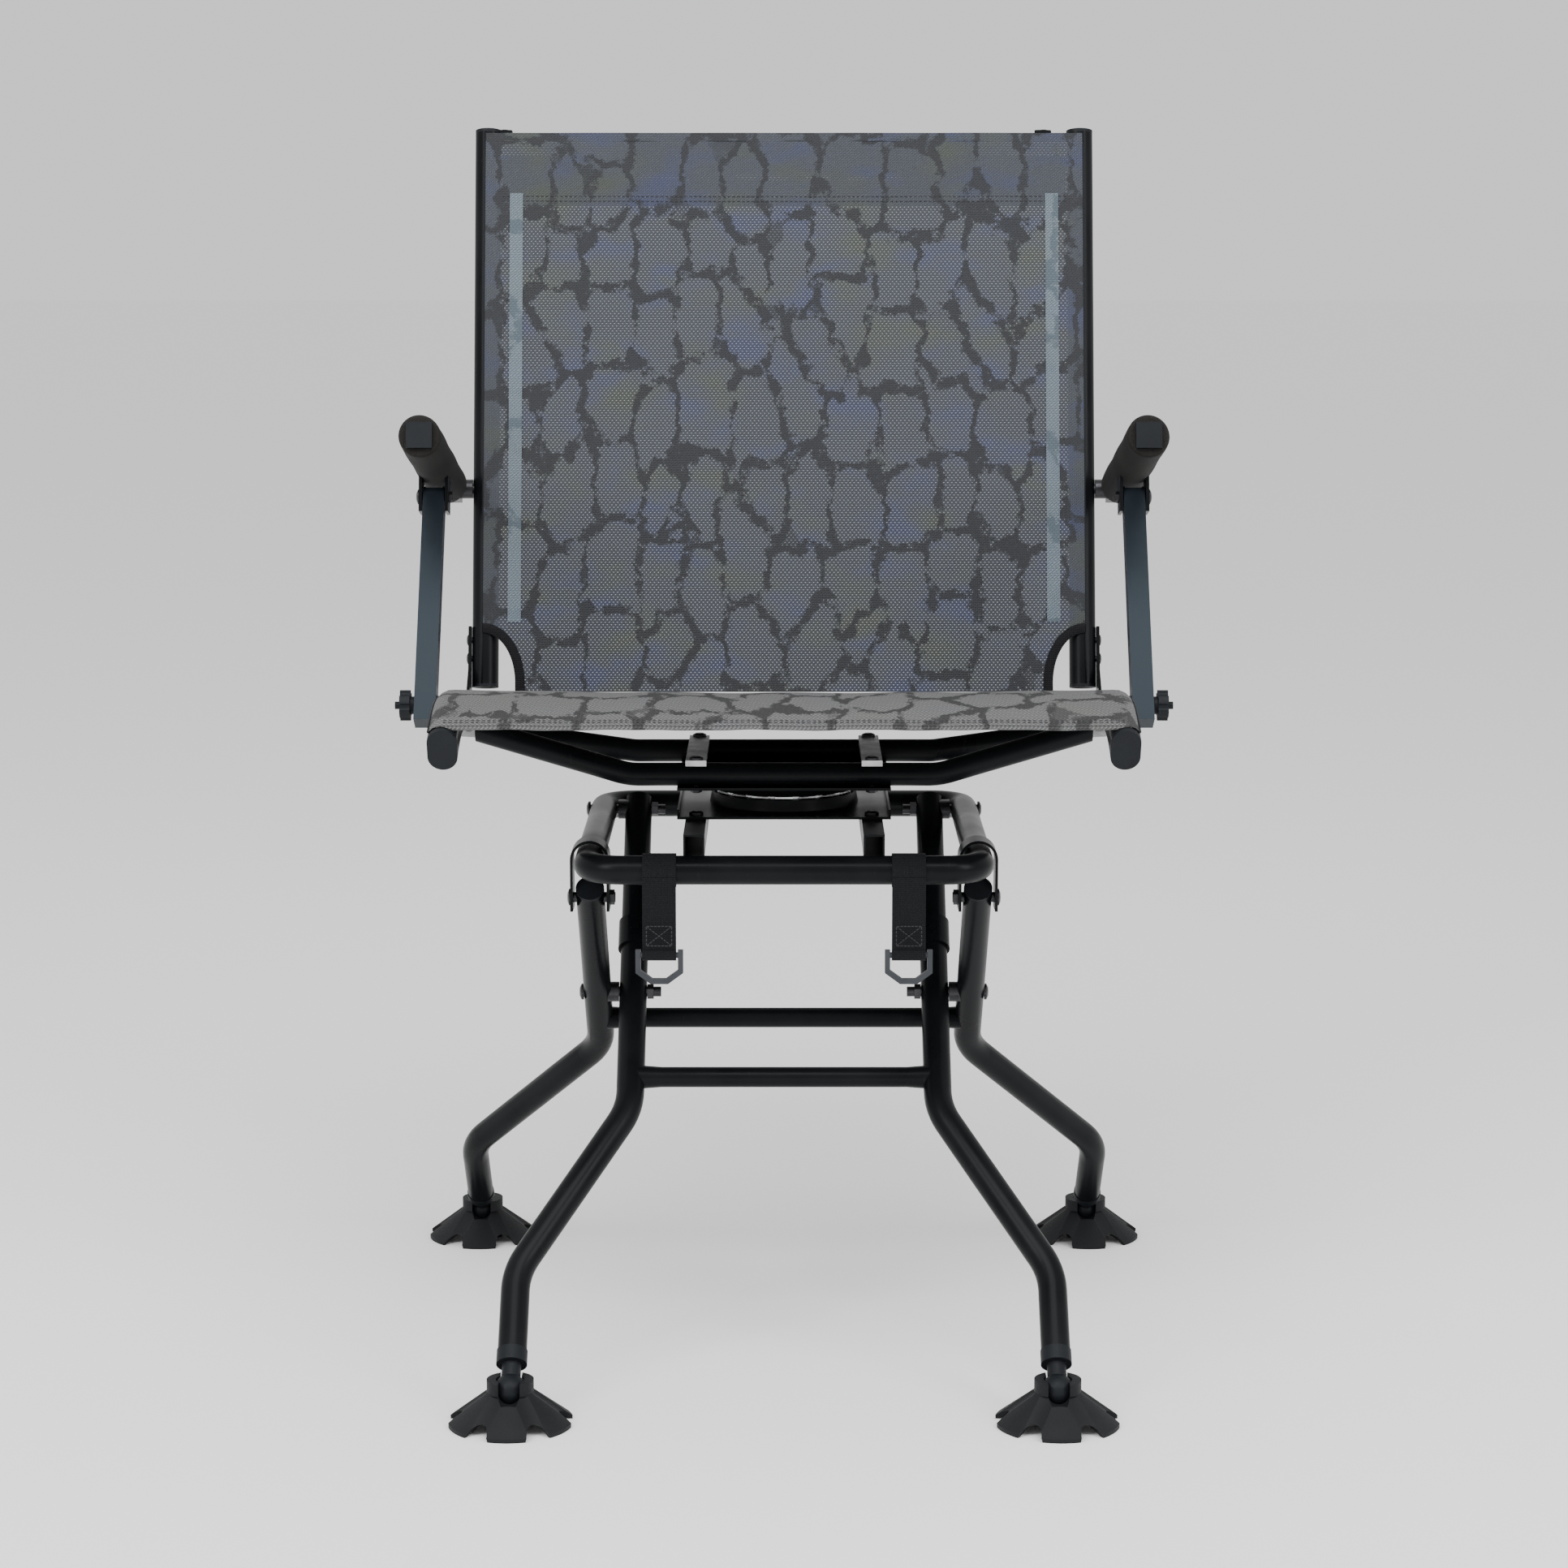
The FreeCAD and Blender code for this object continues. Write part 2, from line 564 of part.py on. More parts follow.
def foot_pad(name, x, ball_centre):
    """A round rubber shoe: hub with a socket slotted fore and aft, six skirt lobes, arches between."""
    hub = size("pad_hub_radius")
    rim = size("pad_radius")
    drop = size("ball_height")
    wall = size("pad_wall")
    body = new_body(name)
    section = new_sketch(body, name + "_section", "XZ_Plane")
    add_outline(section, [(0, -drop), (hub - 1, -drop), (hub + 1, -drop + 10), (rim - wall, -drop),
                          (rim, -drop), (rim, -drop + wall), (hub, 0), (hub, 9), (0, 9)])
    shoe = body.newObject("PartDesign::Revolution", name + "_shoe")
    shoe.Profile = section
    shoe.ReferenceAxis = (section, ["V_Axis"])
    shoe.Angle = 360
    arch = new_sketch(body, name + "_arch", "XZ_Plane")
    arch.AttachmentOffset = FreeCAD.Placement(Vector(0, 0, hub + 1), FreeCAD.Rotation())
    add_circle(arch, 10, "10", 0, -drop - 1)
    tunnel = body.newObject("PartDesign::Pocket", name + "_tunnel")
    tunnel.Profile = arch
    tunnel.Type = 0
    tunnel.Length = rim - hub + 5
    doc.recompute()
    middle_sole = Vector(0, 0, -drop + 1)
    if not tunnel.Shape.isInside(middle_sole, 0.01, True) or tunnel.Shape.Volume > shoe.Shape.Volume - 1:
        tunnel.Reversed = True
    arches = body.newObject("PartDesign::PolarPattern", name + "_arches")
    arches.Originals = [tunnel]
    arches.Axis = (new_sketch(body, name + "_axis", "XY_Plane"), ["N_Axis"])
    arches.Angle = 360
    arches.Occurrences = 6
    body.Tip = arches
    doc.recompute()
    centre = at_x(ball_centre, x)
    body.Placement = FreeCAD.Placement(centre, FreeCAD.Rotation(Vector(0, 0, 1), 30))
    socket = doc.addObject("Part::Sphere", "socket")
    socket.setExpression("Radius", "Sizes.ball_radius + Sizes.socket_gap")
    socket.Placement.Base = centre
    throat = cylinder(10.6, 14, centre, Vector(0, 0, 1))
    slot = box(centre + Vector(-8, -hub - 6, 1), (16, 2 * hub + 12, 22))
    slot_end = cylinder(8, 2 * hub + 12, centre + Vector(0, -hub - 6, 1), Vector(0, 1, 0))
    keep(cut(body, [socket, throat, slot, slot_end] + skirt_flutes(centre)), name)


# ---------- seat ----------

def seat_crossbar(name, depth):
    half_flat = 120
    rail_inner = size("rail_half") - size("rail_width") / 2
    low = size("seat_cross_height")
    high = rail_centre(depth).z - 11
    route = [Vector(-rail_inner - 2, depth, high), Vector(-half_flat, depth, low),
             Vector(half_flat, depth, low), Vector(rail_inner + 2, depth, high)]
    tube = bent_tube(name, route, 45, "seat_cross_outer", "tube_wall")
    trims = [box(Vector(side * (rail_inner + 20) - 20, depth - 30, high - 30), (40, 60, 60))
             for _, side in SIDES]
    bores = [cylinder(3.1, 24, Vector(side * size("deck_half"), depth, low - 12), Vector(0, 0, 1))
             for _, side in SIDES]
    keep(cut(tube, trims + bores), name)


def seat_tie_bars():
    """Two short flat bars on top of the cross tubes."""
    top = size("seat_cross_height") + size("seat_cross_outer") / 2
    front, rear = size("seat_cross_front"), size("seat_cross_rear")
    bars = []
    for _, side in SIDES:
        strip = box(Vector(side * size("deck_half") - 8, front - 6, top - 2), (16, rear - front + 12, 4.5))
        middle = side * size("deck_half")
        tubes = [cylinder("Sizes.seat_cross_outer / 2", 60, Vector(middle - 30, depth, top - 9), X_AXIS)
                 for depth in (front, rear)]
        bores = [cylinder(3.1, 12, Vector(middle, depth, top - 4), Vector(0, 0, 1))
                 for depth in (front, rear)]
        bars.append(cut(strip, tubes + bores))
    keep(group(bars), "seat_tie_bars")


def rail_route():
    """The seat rail's path: straight from behind the hinge, then a long downward nose."""
    radius = size("rail_nose_radius")
    turn = math.radians(size("rail_nose_turn"))
    rear = rail_centre(size("rail_rear_depth"))
    nose_start = rail_centre(size("rail_nose_depth"))
    setback = radius * math.tan(turn / 2)
    corner = nose_start + RAIL_FORWARD * setback
    pitch = SLOPE - turn
    nose = Vector(0, -math.cos(pitch), math.sin(pitch))
    return [rear, corner, corner + nose * setback], nose


def seat_rail(name, side):
    """Flat-oval tube with a front nose, drilled for the back hinge bolt."""
    route, _ = rail_route()
    start = route[0]
    axis = RAIL_FORWARD * -1
    across = X_AXIS
    upward = axis.cross(across)
    local = [Vector(0, (point - start).dot(upward), (point - start).dot(axis)) for point in route]
    body = new_body(name)
    section = new_sketch(body, name + "_section", "XY_Plane")
    add_stadium(section, size("rail_width"), size("rail_depth"))
    wall = size("rail_wall")
    add_stadium(section, size("rail_width") - 2 * wall, size("rail_depth") - 2 * wall)
    path = new_sketch(body, name + "_path", "YZ_Plane")
    flat = [Vector(point.y, point.z, 0) for point in local]
    edge_count = add_path(path, [flat[0], flat[1], flat[2] + (flat[2] - flat[1]).normalize() * 0.5],
                          size("rail_nose_radius"))
    pipe = body.newObject("PartDesign::AdditivePipe", name + "_sweep")
    pipe.Profile = section
    pipe.Spine = (path, ["Edge%d" % (edge + 1) for edge in range(edge_count)])
    doc.recompute()
    placed = at_x(start, side * size("rail_half"))
    matrix = FreeCAD.Matrix(across.x, upward.x, axis.x, placed.x,
                            across.y, upward.y, axis.y, placed.y,
                            across.z, upward.z, axis.z, placed.z, 0, 0, 0, 1)
    body.Placement = FreeCAD.Placement(matrix)
    hole = running_bore(at_x(HINGE, side * size("rail_half") - 30), 60)
    keep(cut(body, [hole]), name)


def oval_cap(start, outward, upward, thickness, width, height):
    """A flat-oval plate that closes a rail or post end."""
    across = upward.cross(outward)
    radius = width / 2
    straight = height / 2 - radius
    ends = [cylinder(radius, thickness, start + upward * offset, outward) for offset in (straight, -straight)]
    plate = box(Vector(-radius, -straight, 0), (width, 2 * straight, thickness))
    matrix = FreeCAD.Matrix(across.x, upward.x, outward.x, start.x,
                            across.y, upward.y, outward.y, start.y,
                            across.z, upward.z, outward.z, start.z, 0, 0, 0, 1)
    plate.Placement = FreeCAD.Placement(matrix).multiply(plate.Placement)
    return fuse(ends + [plate])


def seat_rail_caps():
    route, nose = rail_route()
    nose_up = X_AXIS.cross(nose) * -1
    caps = []
    for _, side in SIDES:
        half = side * size("rail_half")
        caps.append(oval_cap(at_x(route[2] + nose * 0.5, half), nose, nose_up, 3.5,
                             size("rail_width"), size("rail_depth")))
        caps.append(oval_cap(at_x(route[0], half), RAIL_FORWARD * -1, RAIL_UP, 3,
                             size("rail_width"), size("rail_depth")))
    keep(group(caps), "seat_rail_caps")


def seat_sling():
    """The seat fabric as a thin closed sheet between the rails, following their top line."""
    half = size("rail_half") - size("rail_width") / 2 - 0.6
    thick = size("sling_thick")
    route, nose = rail_route()
    nose_up = X_AXIS.cross(nose) * -1
    lift = size("rail_depth") / 2 - 1.5
    rear = rail_centre(150) + RAIL_UP * lift
    corner = rail_centre(size("rail_nose_depth"))
    crest = corner + RAIL_UP * lift
    tip = route[2] - nose * 4 + nose_up * lift
    middle_pitch = SLOPE - math.radians(size("rail_nose_turn")) / 2
    middle_up = Vector(0, math.sin(middle_pitch), math.cos(middle_pitch))
    centre = corner - RAIL_UP * size("rail_nose_radius")
    middle = centre + middle_up * (size("rail_nose_radius") + lift)
    top = [Part.LineSegment(rear, crest).toShape(), Part.Arc(crest, middle, tip).toShape()]
    under = [rear - RAIL_UP * thick, crest - RAIL_UP * thick,
             middle - middle_up * thick, tip - nose_up * thick]
    bottom = [Part.LineSegment(tip, under[3]).toShape(), Part.Arc(under[3], under[2], under[1]).toShape(),
              Part.LineSegment(under[1], under[0]).toShape(), Part.LineSegment(under[0], rear).toShape()]
    profile = Part.Face(Part.Wire(top + bottom))
    profile.translate(Vector(-half, 0, 0))
    item = doc.addObject("Part::Feature", "seat_fabric")
    item.Shape = profile.extrude(Vector(2 * half, 0, 0))
    keep(item, "seat_sling")


def strut_catches():
    """Hooked plates on the rails' outer faces, open below; the knob studs sit in the hooks."""
    plates = []
    thick = size("catch_thick")
    for _, side in SIDES:
        inner = size("rail_half") + size("rail_width") / 2
        low = inner if side > 0 else -inner - thick
        plate = box(Vector(low, CATCH.y - 11, CATCH.z - 9), (thick, 22, 18))
        stud_hole = cylinder("Sizes.stud_radius + 0.4", 10, at_x(CATCH, low - 4), X_AXIS)
        throat = box(Vector(low - 4, CATCH.y - 3.4, CATCH.z - 20), (10, 6.8, 20))
        mouth = box(Vector(low - 4, CATCH.y - 3.4, CATCH.z - 24), (10, 10.2, 20))
        plates.append(cut(plate, [stud_hole, throat, mouth]))
    keep(group(plates), "strut_catches")


def back_hinge_bolts():
    bolts = []
    rail_outer = size("rail_half") + size("rail_width") / 2
    for _, side in SIDES:
        start = at_x(HINGE, side * (rail_outer + 3.2))
        bolts.append(bolt(start, X_AXIS * -side, "Sizes.leg_bolt_radius", 3.2 + size("rail_width") - 0.5,
                          head_radius=7, head=2.4, nut=0, tail=0))
    keep(group(bolts), "back_hinge_bolts")


# ---------- folding back ----------

def back_post(name, side):
    """Straight round post of the back, square to its cap at each end."""
    foot = at_x(back_point(size("back_foot_height")), side * size("rail_half"))
    length = (size("back_top_height") - size("back_foot_height")) / BACK_UP.z
    outer = cylinder("Sizes.tube_outer / 2", length, foot, BACK_UP)
    inner = cylinder("Sizes.tube_outer / 2 - Sizes.tube_wall", length + 2, foot - BACK_UP, BACK_UP)
    arm_hole = running_bore(at_x(ARM_PIVOT, side * size("rail_half") - 30), 60)
    holes = [arm_hole] + [cylinder(2.55, 30, at_x(foot + BACK_UP * station, side * size("rail_half")),
                                   X_AXIS * side) for station in HINGE_RIVETS]
    keep(cut(outer, [inner] + holes), name)


def back_post_caps():
    caps = []
    length = (size("back_top_height") - size("back_foot_height")) / BACK_UP.z
    for _, side in SIDES:
        foot = at_x(back_point(size("back_foot_height")), side * size("rail_half"))
        for end, outward in ((foot, BACK_UP * -1), (foot + BACK_UP * length, BACK_UP)):
            rim = cylinder("Sizes.tube_outer / 2", 2.5, end, outward)
            plug = cylinder("Sizes.tube_outer / 2 - Sizes.tube_wall - 0.02", 8, end, outward * -1)
            caps.append(fuse([rim, plug]))
    keep(group(caps), "back_post_caps")


def back_hinge_plates():
    """Flat dog-leg plates from the posts' outer faces down and forward to the hinge bolts."""
    plates = []
    outer = size("rail_half") + size("rail_width") / 2
    foot = back_point(size("back_foot_height"))
    corners = [foot + BACK_UP * 48 + BACK_FRONT * 7, foot + BACK_UP * 48 - BACK_FRONT * 7,
               foot + BACK_UP * 3 - BACK_FRONT * 8, HINGE + Vector(0, 9, -6), HINGE + Vector(0, 3, -9),
               HINGE + Vector(0, -7, -7), HINGE + Vector(0, -9, 2), foot + BACK_FRONT * 8 + BACK_UP * 12]
    for _, side in SIDES:
        low = outer + 0.35 if side > 0 else -outer - 2.85
        ring = [Vector(low, corner.y, corner.z) for corner in corners]
        face = Part.Face(Part.makePolygon(ring + [ring[0]]))
        blank = doc.addObject("Part::Feature", "hinge_blank")
        blank.Shape = face.extrude(Vector(2.5, 0, 0))
        holes = [running_bore(at_x(HINGE, low - 3), 10)]
        holes += [cylinder(2.55, 10, at_x(foot + BACK_UP * station, low - 3), X_AXIS)
                  for station in HINGE_RIVETS]
        plates.append(cut(blank, holes))
    keep(group(plates), "back_hinge_plates")


def back_hinge_rivets():
    outer = size("rail_half") + size("rail_width") / 2
    foot = back_point(size("back_foot_height"))
    rivets = [bolt(at_x(foot + BACK_UP * station, side * (outer + 2.85)), X_AXIS * -side, 2.5, 6.5,
                   head_radius=4.5, head=1.8, nut=0, tail=0)
              for _, side in SIDES for station in HINGE_RIVETS]
    keep(group(rivets), "back_hinge_rivets")


def back_sling():
    """The back fabric as a thin closed sheet between the posts, in front of their middle."""
    half = size("rail_half") - size("tube_outer") / 2 - 0.6
    base = back_point(size("back_foot_height")) + BACK_FRONT * 5
    length = (size("back_top_height") - size("back_foot_height")) / BACK_UP.z
    sheet_box = box(Vector(-half, 0, 0), (2 * half, size("sling_thick"), length))
    sheet_box.Placement = FreeCAD.Placement(Vector(-half, base.y, base.z),
                                            FreeCAD.Rotation(X_AXIS, -size("back_lean")))
    keep(sheet_box, "back_sling")


def back_spreader():
    """A thin tube across the top, inside the fabric's hem, that keeps the posts apart."""
    half = size("rail_half") - size("tube_outer") / 2
    place = back_point(size("back_top_height") - 24) - BACK_FRONT * 4
    rod = cylinder(6, 2 * half + 2, at_x(place, -half - 1), X_AXIS)
    bore = cylinder(4.8, 2 * half + 8, at_x(place, -half - 4), X_AXIS)
    posts = [cylinder("Sizes.tube_outer / 2", 80, at_x(back_point(size("back_top_height") - 60),
                      side * size("rail_half")), BACK_UP) for _, side in SIDES]
    keep(cut(rod, [bore] + posts), "back_spreader")


# ---------- folding arms ----------

def arm_frame_box(centre, along, up, extent):
    """A box centred across X, from centre, that runs forward along the arm."""
    item = doc.addObject("Part::Box", "arm_block")
    item.Length, item.Width, item.Height = extent
    slope = FreeCAD.Rotation(X_AXIS, -size("arm_slope"))
    offset = Vector(-extent[0] / 2, -along - extent[1], up)
    item.Placement = FreeCAD.Placement(centre + slope.multVec(offset), slope)
    return item


def arm(side_name, side):
    """Square tube, foam grip, end plug, strut bracket and the two bolts of one arm."""
    half = side * size("arm_half")
    reach = size("arm_front_reach")
    square = size("arm_tube")
    pivot = at_x(ARM_PIVOT, half)
    strut_along = (ARM_PIVOT - STRUT_PIVOT).dot(ARM_FORWARD * -1)
    outside = arm_frame_box(pivot, -10, -square / 2, (square, reach + 10, square))
    inside = arm_frame_box(pivot, -11, -square / 2 + 1.5, (square - 3, reach + 12, square - 3))
    hole = running_bore(at_x(ARM_PIVOT, half - 20), 40)
    keep(cut(outside, [inside, hole]), "arm_tube_" + side_name)

    grip_start = pivot + ARM_FORWARD * 24
    grip = cylinder("Sizes.grip_outer / 2", reach - 26, grip_start, ARM_FORWARD)
    core = arm_frame_box(pivot, 20, -square / 2 - 0.1, (square + 0.2, reach, square + 0.2))
    notch = arm_frame_box(pivot, strut_along - 13, -30, (24.4, 26, 30 - square / 2 + 1))
    keep(cut(grip, [core, notch]), "arm_grip_" + side_name)

    cap = arm_frame_box(pivot, reach, -square / 2, (square, 2.5, square))
    tongue = arm_frame_box(pivot, reach - 8, -square / 2 + 1.6, (square - 3.2, 9, square - 3.2))
    keep(fuse([cap, tongue]), "arm_cap_" + side_name)

    drop = size("strut_drop")
    strut = size("strut_tube")
    web_low = -square / 2 - 2.5
    yoke = arm_frame_box(pivot, strut_along - 11, -drop - 13, (strut + 6.4, 22, drop + 13 - square / 2))
    gap = arm_frame_box(pivot, strut_along - 14, -drop - 20, (strut + 1.4, 28, drop + 20 + web_low))
    yoke_hole = cylinder(3.05, 50, at_x(STRUT_PIVOT, half - 25), X_AXIS)
    keep(cut(yoke, [gap, yoke_hole]), "arm_bracket_" + side_name)

    outer_face = side * (size("arm_half") + square / 2 + CLEAR)
    post_inner = size("rail_half") - size("tube_outer") / 2
    pivot_bolt = bolt(at_x(ARM_PIVOT, outer_face), X_AXIS * -side, "Sizes.leg_bolt_radius",
                      size("arm_half") + square / 2 - post_inner - 0.5, head=2.4, nut=0, tail=0)
    yoke_outer = size("arm_half") + (strut + 6.4) / 2 + CLEAR
    yoke_bolt = bolt(at_x(STRUT_PIVOT, side * yoke_outer), X_AXIS * -side, 3.0, strut + 6.4 + 2 * CLEAR,
                     head_radius=6, head=2.6, nut_radius=4.4, nut=2.6, tail=0.4)
    spacer = cylinder(8, size("arm_half") - square / 2 - size("rail_half") - size("tube_outer") / 2 - 0.4,
                      at_x(ARM_PIVOT, side * (size("arm_half") - square / 2 - 0.1)), X_AXIS * -side)
    bore = cylinder("Sizes.leg_bolt_radius + Sizes.running_gap", 30,
                    at_x(ARM_PIVOT, side * size("arm_half")), X_AXIS * -side)
    keep(group([pivot_bolt, yoke_bolt, cut(spacer, [bore])]), "arm_bolts_" + side_name)


def strut(side_name, side):
    """Square strut from the arm bracket down to the seat rail, with its plug, stud and knob."""
    half = side * size("arm_half")
    square = size("strut_tube")
    down = (CATCH - STRUT_PIVOT).normalize()
    length = (CATCH - STRUT_PIVOT).Length
    turn = FreeCAD.Rotation(Vector(0, 0, -1), down)
    top = at_x(STRUT_PIVOT, half)

    def strut_box(width, start, run):
        item = doc.addObject("Part::Box", "strut_block")
        item.Length, item.Width, item.Height = width, width, run
        corner = Vector(-width / 2, -width / 2, -start - run)
        item.Placement = FreeCAD.Placement(top + turn.multVec(corner), turn)
        return item

    outside = strut_box(square, 0, length + 13)
    crown = cylinder(square / 2, square, at_x(STRUT_PIVOT, half - square / 2), X_AXIS)
    inside = strut_box(square - 3, -20, length + 40)
    top_hole = cylinder(3.05, 40, at_x(STRUT_PIVOT, half - 20), X_AXIS)
    stud_hole = cylinder("Sizes.stud_radius + Sizes.running_gap", 40, at_x(CATCH, half - 20), X_AXIS)
    plug = strut_box(square, length + 13, 2.5)
    keep(fuse([cut(fuse([outside, crown]), [inside, top_hole, stud_hole]), plug]), "strut_" + side_name)

    outer = size("arm_half") + square / 2
    stud_start = side * (size("rail_half") + size("rail_width") / 2 + 0.4)
    stud = cylinder("Sizes.stud_radius", outer + 15.5 - abs(stud_start), at_x(CATCH, stud_start),
                    X_AXIS * side)
    washer = cylinder(7.5, 1.6, at_x(CATCH, side * (size("arm_half") - square / 2 - 0.05)), X_AXIS * -side)
    keep(fuse([stud, washer, knob(side_name, side, outer)]), "arm_knob_" + side_name)


def knob(side_name, side, outer):
    """Six-lobed clamping knob with a collar."""
    name = "knob_" + side_name
    body = new_body(name)
    collar = new_sketch(body, name + "_collar", "YZ_Plane")
    add_circle(collar, 7, "7")
    collar_pad = body.newObject("PartDesign::Pad", name + "_hub")
    collar_pad.Profile = collar
    collar_pad.Length = 3
    grip = new_sketch(body, name + "_grip", "YZ_Plane")
    add_circle(grip, size("knob_radius"), "Sizes.knob_radius")
    grip.AttachmentOffset = FreeCAD.Placement(Vector(0, 0, 3), FreeCAD.Rotation())
    grip_pad = body.newObject("PartDesign::Pad", name + "_wheel")
    grip_pad.Profile = grip
    grip_pad.setExpression("Length", "Sizes.knob_thick")
    scallop = new_sketch(body, name + "_scallop", "YZ_Plane")
    scallop.AttachmentOffset = FreeCAD.Placement(Vector(0, 0, 3), FreeCAD.Rotation())
    add_circle(scallop, 3.2, "3.2", size("knob_radius") + 1.0, 0)
    flute = body.newObject("PartDesign::Pocket", name + "_flute")
    flute.Profile = scallop
    flute.Length = 10
    flute.Reversed = True
    doc.recompute()
    flutes = body.newObject("PartDesign::PolarPattern", name + "_flutes")
    flutes.Originals = [flute]
    flutes.Axis = (scallop, ["N_Axis"])
    flutes.Angle = 360
    flutes.Occurrences = 6
    body.Tip = flutes
    doc.recompute()
    facing = FreeCAD.Rotation() if side > 0 else FreeCAD.Rotation(Vector(0, 0, 1), 180)
    body.Placement = FreeCAD.Placement(at_x(CATCH, side * (outer + SIDE_GAP)), facing)
    return body


# ---------- carry straps ----------

def carry_strap(side_name, side):
    """Webbing looped over the front bar, and the plastic ring in its lower end."""
    x = side * size("strap_half")
    width = size("strap_width")
    thick = size("strap_thick")
    tube = size("tube_outer") / 2
    bar = Vector(x, size("front_bar_depth"), size("frame_height"))
    start = bar - Vector(width / 2, 0, 0)
    loop_radius = tube + 0.4
    loop = cylinder(loop_radius + thick, width, start, X_AXIS)
    drop = size("strap_drop")
    tail = box(Vector(start.x, bar.y - loop_radius - thick, bar.z - drop - 2), (width, 2 * thick, drop - 2))
    bore = cylinder(loop_radius, width + 4, start - Vector(2, 0, 0), X_AXIS)
    ring_eye = Vector(x, bar.y - loop_radius, bar.z - drop)
    eye = cylinder(4.2, width, Vector(start.x, ring_eye.y, ring_eye.z), X_AXIS)
    eye_bore = cylinder(2.3, width + 4, Vector(start.x - 2, ring_eye.y, ring_eye.z), X_AXIS)
    keep(cut(fuse([loop, tail, eye]), [bore, eye_bore]), "carry_strap_" + side_name)

    bar_half = size("ring_bar") / 2
    top = cylinder(2.2, 31, ring_eye - Vector(15.5, 0, 0), X_AXIS)
    outline = [(-18.0, 4), (-14.0, 4), (-14.0, -11.5), (-5.0, -18), (5.0, -18), (14.0, -11.5), (14.0, 4),
               (18.0, 4), (18.0, -13.5), (6.5, -22), (-6.5, -22), (-18.0, -13.5)]
    ring = [Vector(ring_eye.x + point[0], ring_eye.y - bar_half, ring_eye.z + point[1]) for point in outline]
    frame = doc.addObject("Part::Feature", "ring_frame")
    frame.Shape = Part.Face(Part.makePolygon(ring + [ring[0]])).extrude(Vector(0, 2 * bar_half, 0))
    keep(fuse([top, frame]), "carry_ring_" + side_name)


base_front_bar()
base_rear_loop()
deck_rails()
swivel_plate("swivel_lower_plate", size("lower_plate_height"), 1, DECK_BOLT_DEPTHS)
plate_bolts("deck_bolts", size("lower_plate_height") + size("plate_thick") + CLEAR, Vector(0, 0, -1),
            size("plate_thick") + 1.5 + 2 * CLEAR, DECK_BOLT_DEPTHS)
swivel_bearing()
for side_label, sign in SIDES:
    leg("inner_leg_" + side_label, sign, LEG_PIVOT, INNER_DIRECTION, 292, 438, size("inner_leg_half"),
        size("front_foot_half"), INNER_LENGTH - size("front_leg_short"), (0, SCISSOR_FROM_PIVOT))
    leg("outer_leg_" + side_label, sign, SADDLE_PIVOT, OUTER_DIRECTION, 213, 375, size("frame_half_width"),
        size("rear_foot_half"), OUTER_LENGTH - size("rear_leg_short"), (0, SADDLE_FROM_SCISSOR))
leg_crossbar("front_leg_crossbar", LEG_PIVOT + INNER_DIRECTION * 263, size("inner_leg_half"), INNER_DIRECTION)
leg_crossbar("rear_leg_crossbar", SADDLE_PIVOT + OUTER_DIRECTION * 174, size("frame_half_width"),
             OUTER_DIRECTION)
leg_pivot_hardware()
leg_end_caps("outer_leg_caps", size("frame_half_width"), SADDLE_PIVOT, OUTER_DIRECTION)
lock_brackets()
saddles()
foot_stems("front_foot_stems", size("front_foot_half"), FRONT_BALL, INNER_DIRECTION, size("front_leg_short"))
foot_stems("rear_foot_stems", size("rear_foot_half"), REAR_BALL, OUTER_DIRECTION, size("rear_leg_short"))
for side_label, sign in SIDES:
    foot_pad("front_pad_" + side_label, sign * size("front_foot_half"), FRONT_BALL)
    foot_pad("rear_pad_" + side_label, sign * size("rear_foot_half"), REAR_BALL)
swivel_plate("swivel_upper_plate", size("upper_plate_height"), -1, SEAT_BOLT_DEPTHS)
seat_crossbar("seat_front_crossbar", size("seat_cross_front"))
seat_crossbar("seat_rear_crossbar", size("seat_cross_rear"))
seat_tie_bars()
plate_bolts("seat_bolts", size("seat_cross_height") + 11.5 + CLEAR, Vector(0, 0, -1), 22.6,
            SEAT_BOLT_DEPTHS)
seat_rail_caps()
seat_sling()
strut_catches()
back_hinge_bolts()
back_post_caps()
back_hinge_plates()
back_hinge_rivets()
back_sling()
back_spreader()
for side_label, sign in SIDES:
    seat_rail("seat_rail_" + side_label, sign)
    back_post("back_post_" + side_label, sign)
    arm(side_label, sign)
    strut(side_label, sign)
    carry_strap(side_label, sign)
doc.recompute()

# ---------- checks and files ----------

for item in doc.Objects:
    if "Invalid" in item.State or "Error" in item.State:
        raise RuntimeError("failed object: %s %s" % (item.Label, item.State))
overall = FreeCAD.BoundBox()
for item in nodes:
    if item.Shape.isNull() or not item.Shape.isValid() or not item.Shape.Solids:
        raise RuntimeError("bad shape: " + item.Label)
    overall.add(item.Shape.optimalBoundingBox())
os.makedirs("parts", exist_ok=True)
for item in nodes:
    item.Shape.exportStep("parts/%s.step" % item.Label)
print(len(nodes), "nodes")
print("box", [round(number, 2) for number in (overall.XMin, overall.XMax, overall.YMin, overall.YMax,
                                              overall.ZMin, overall.ZMax)])
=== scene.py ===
import json
import math

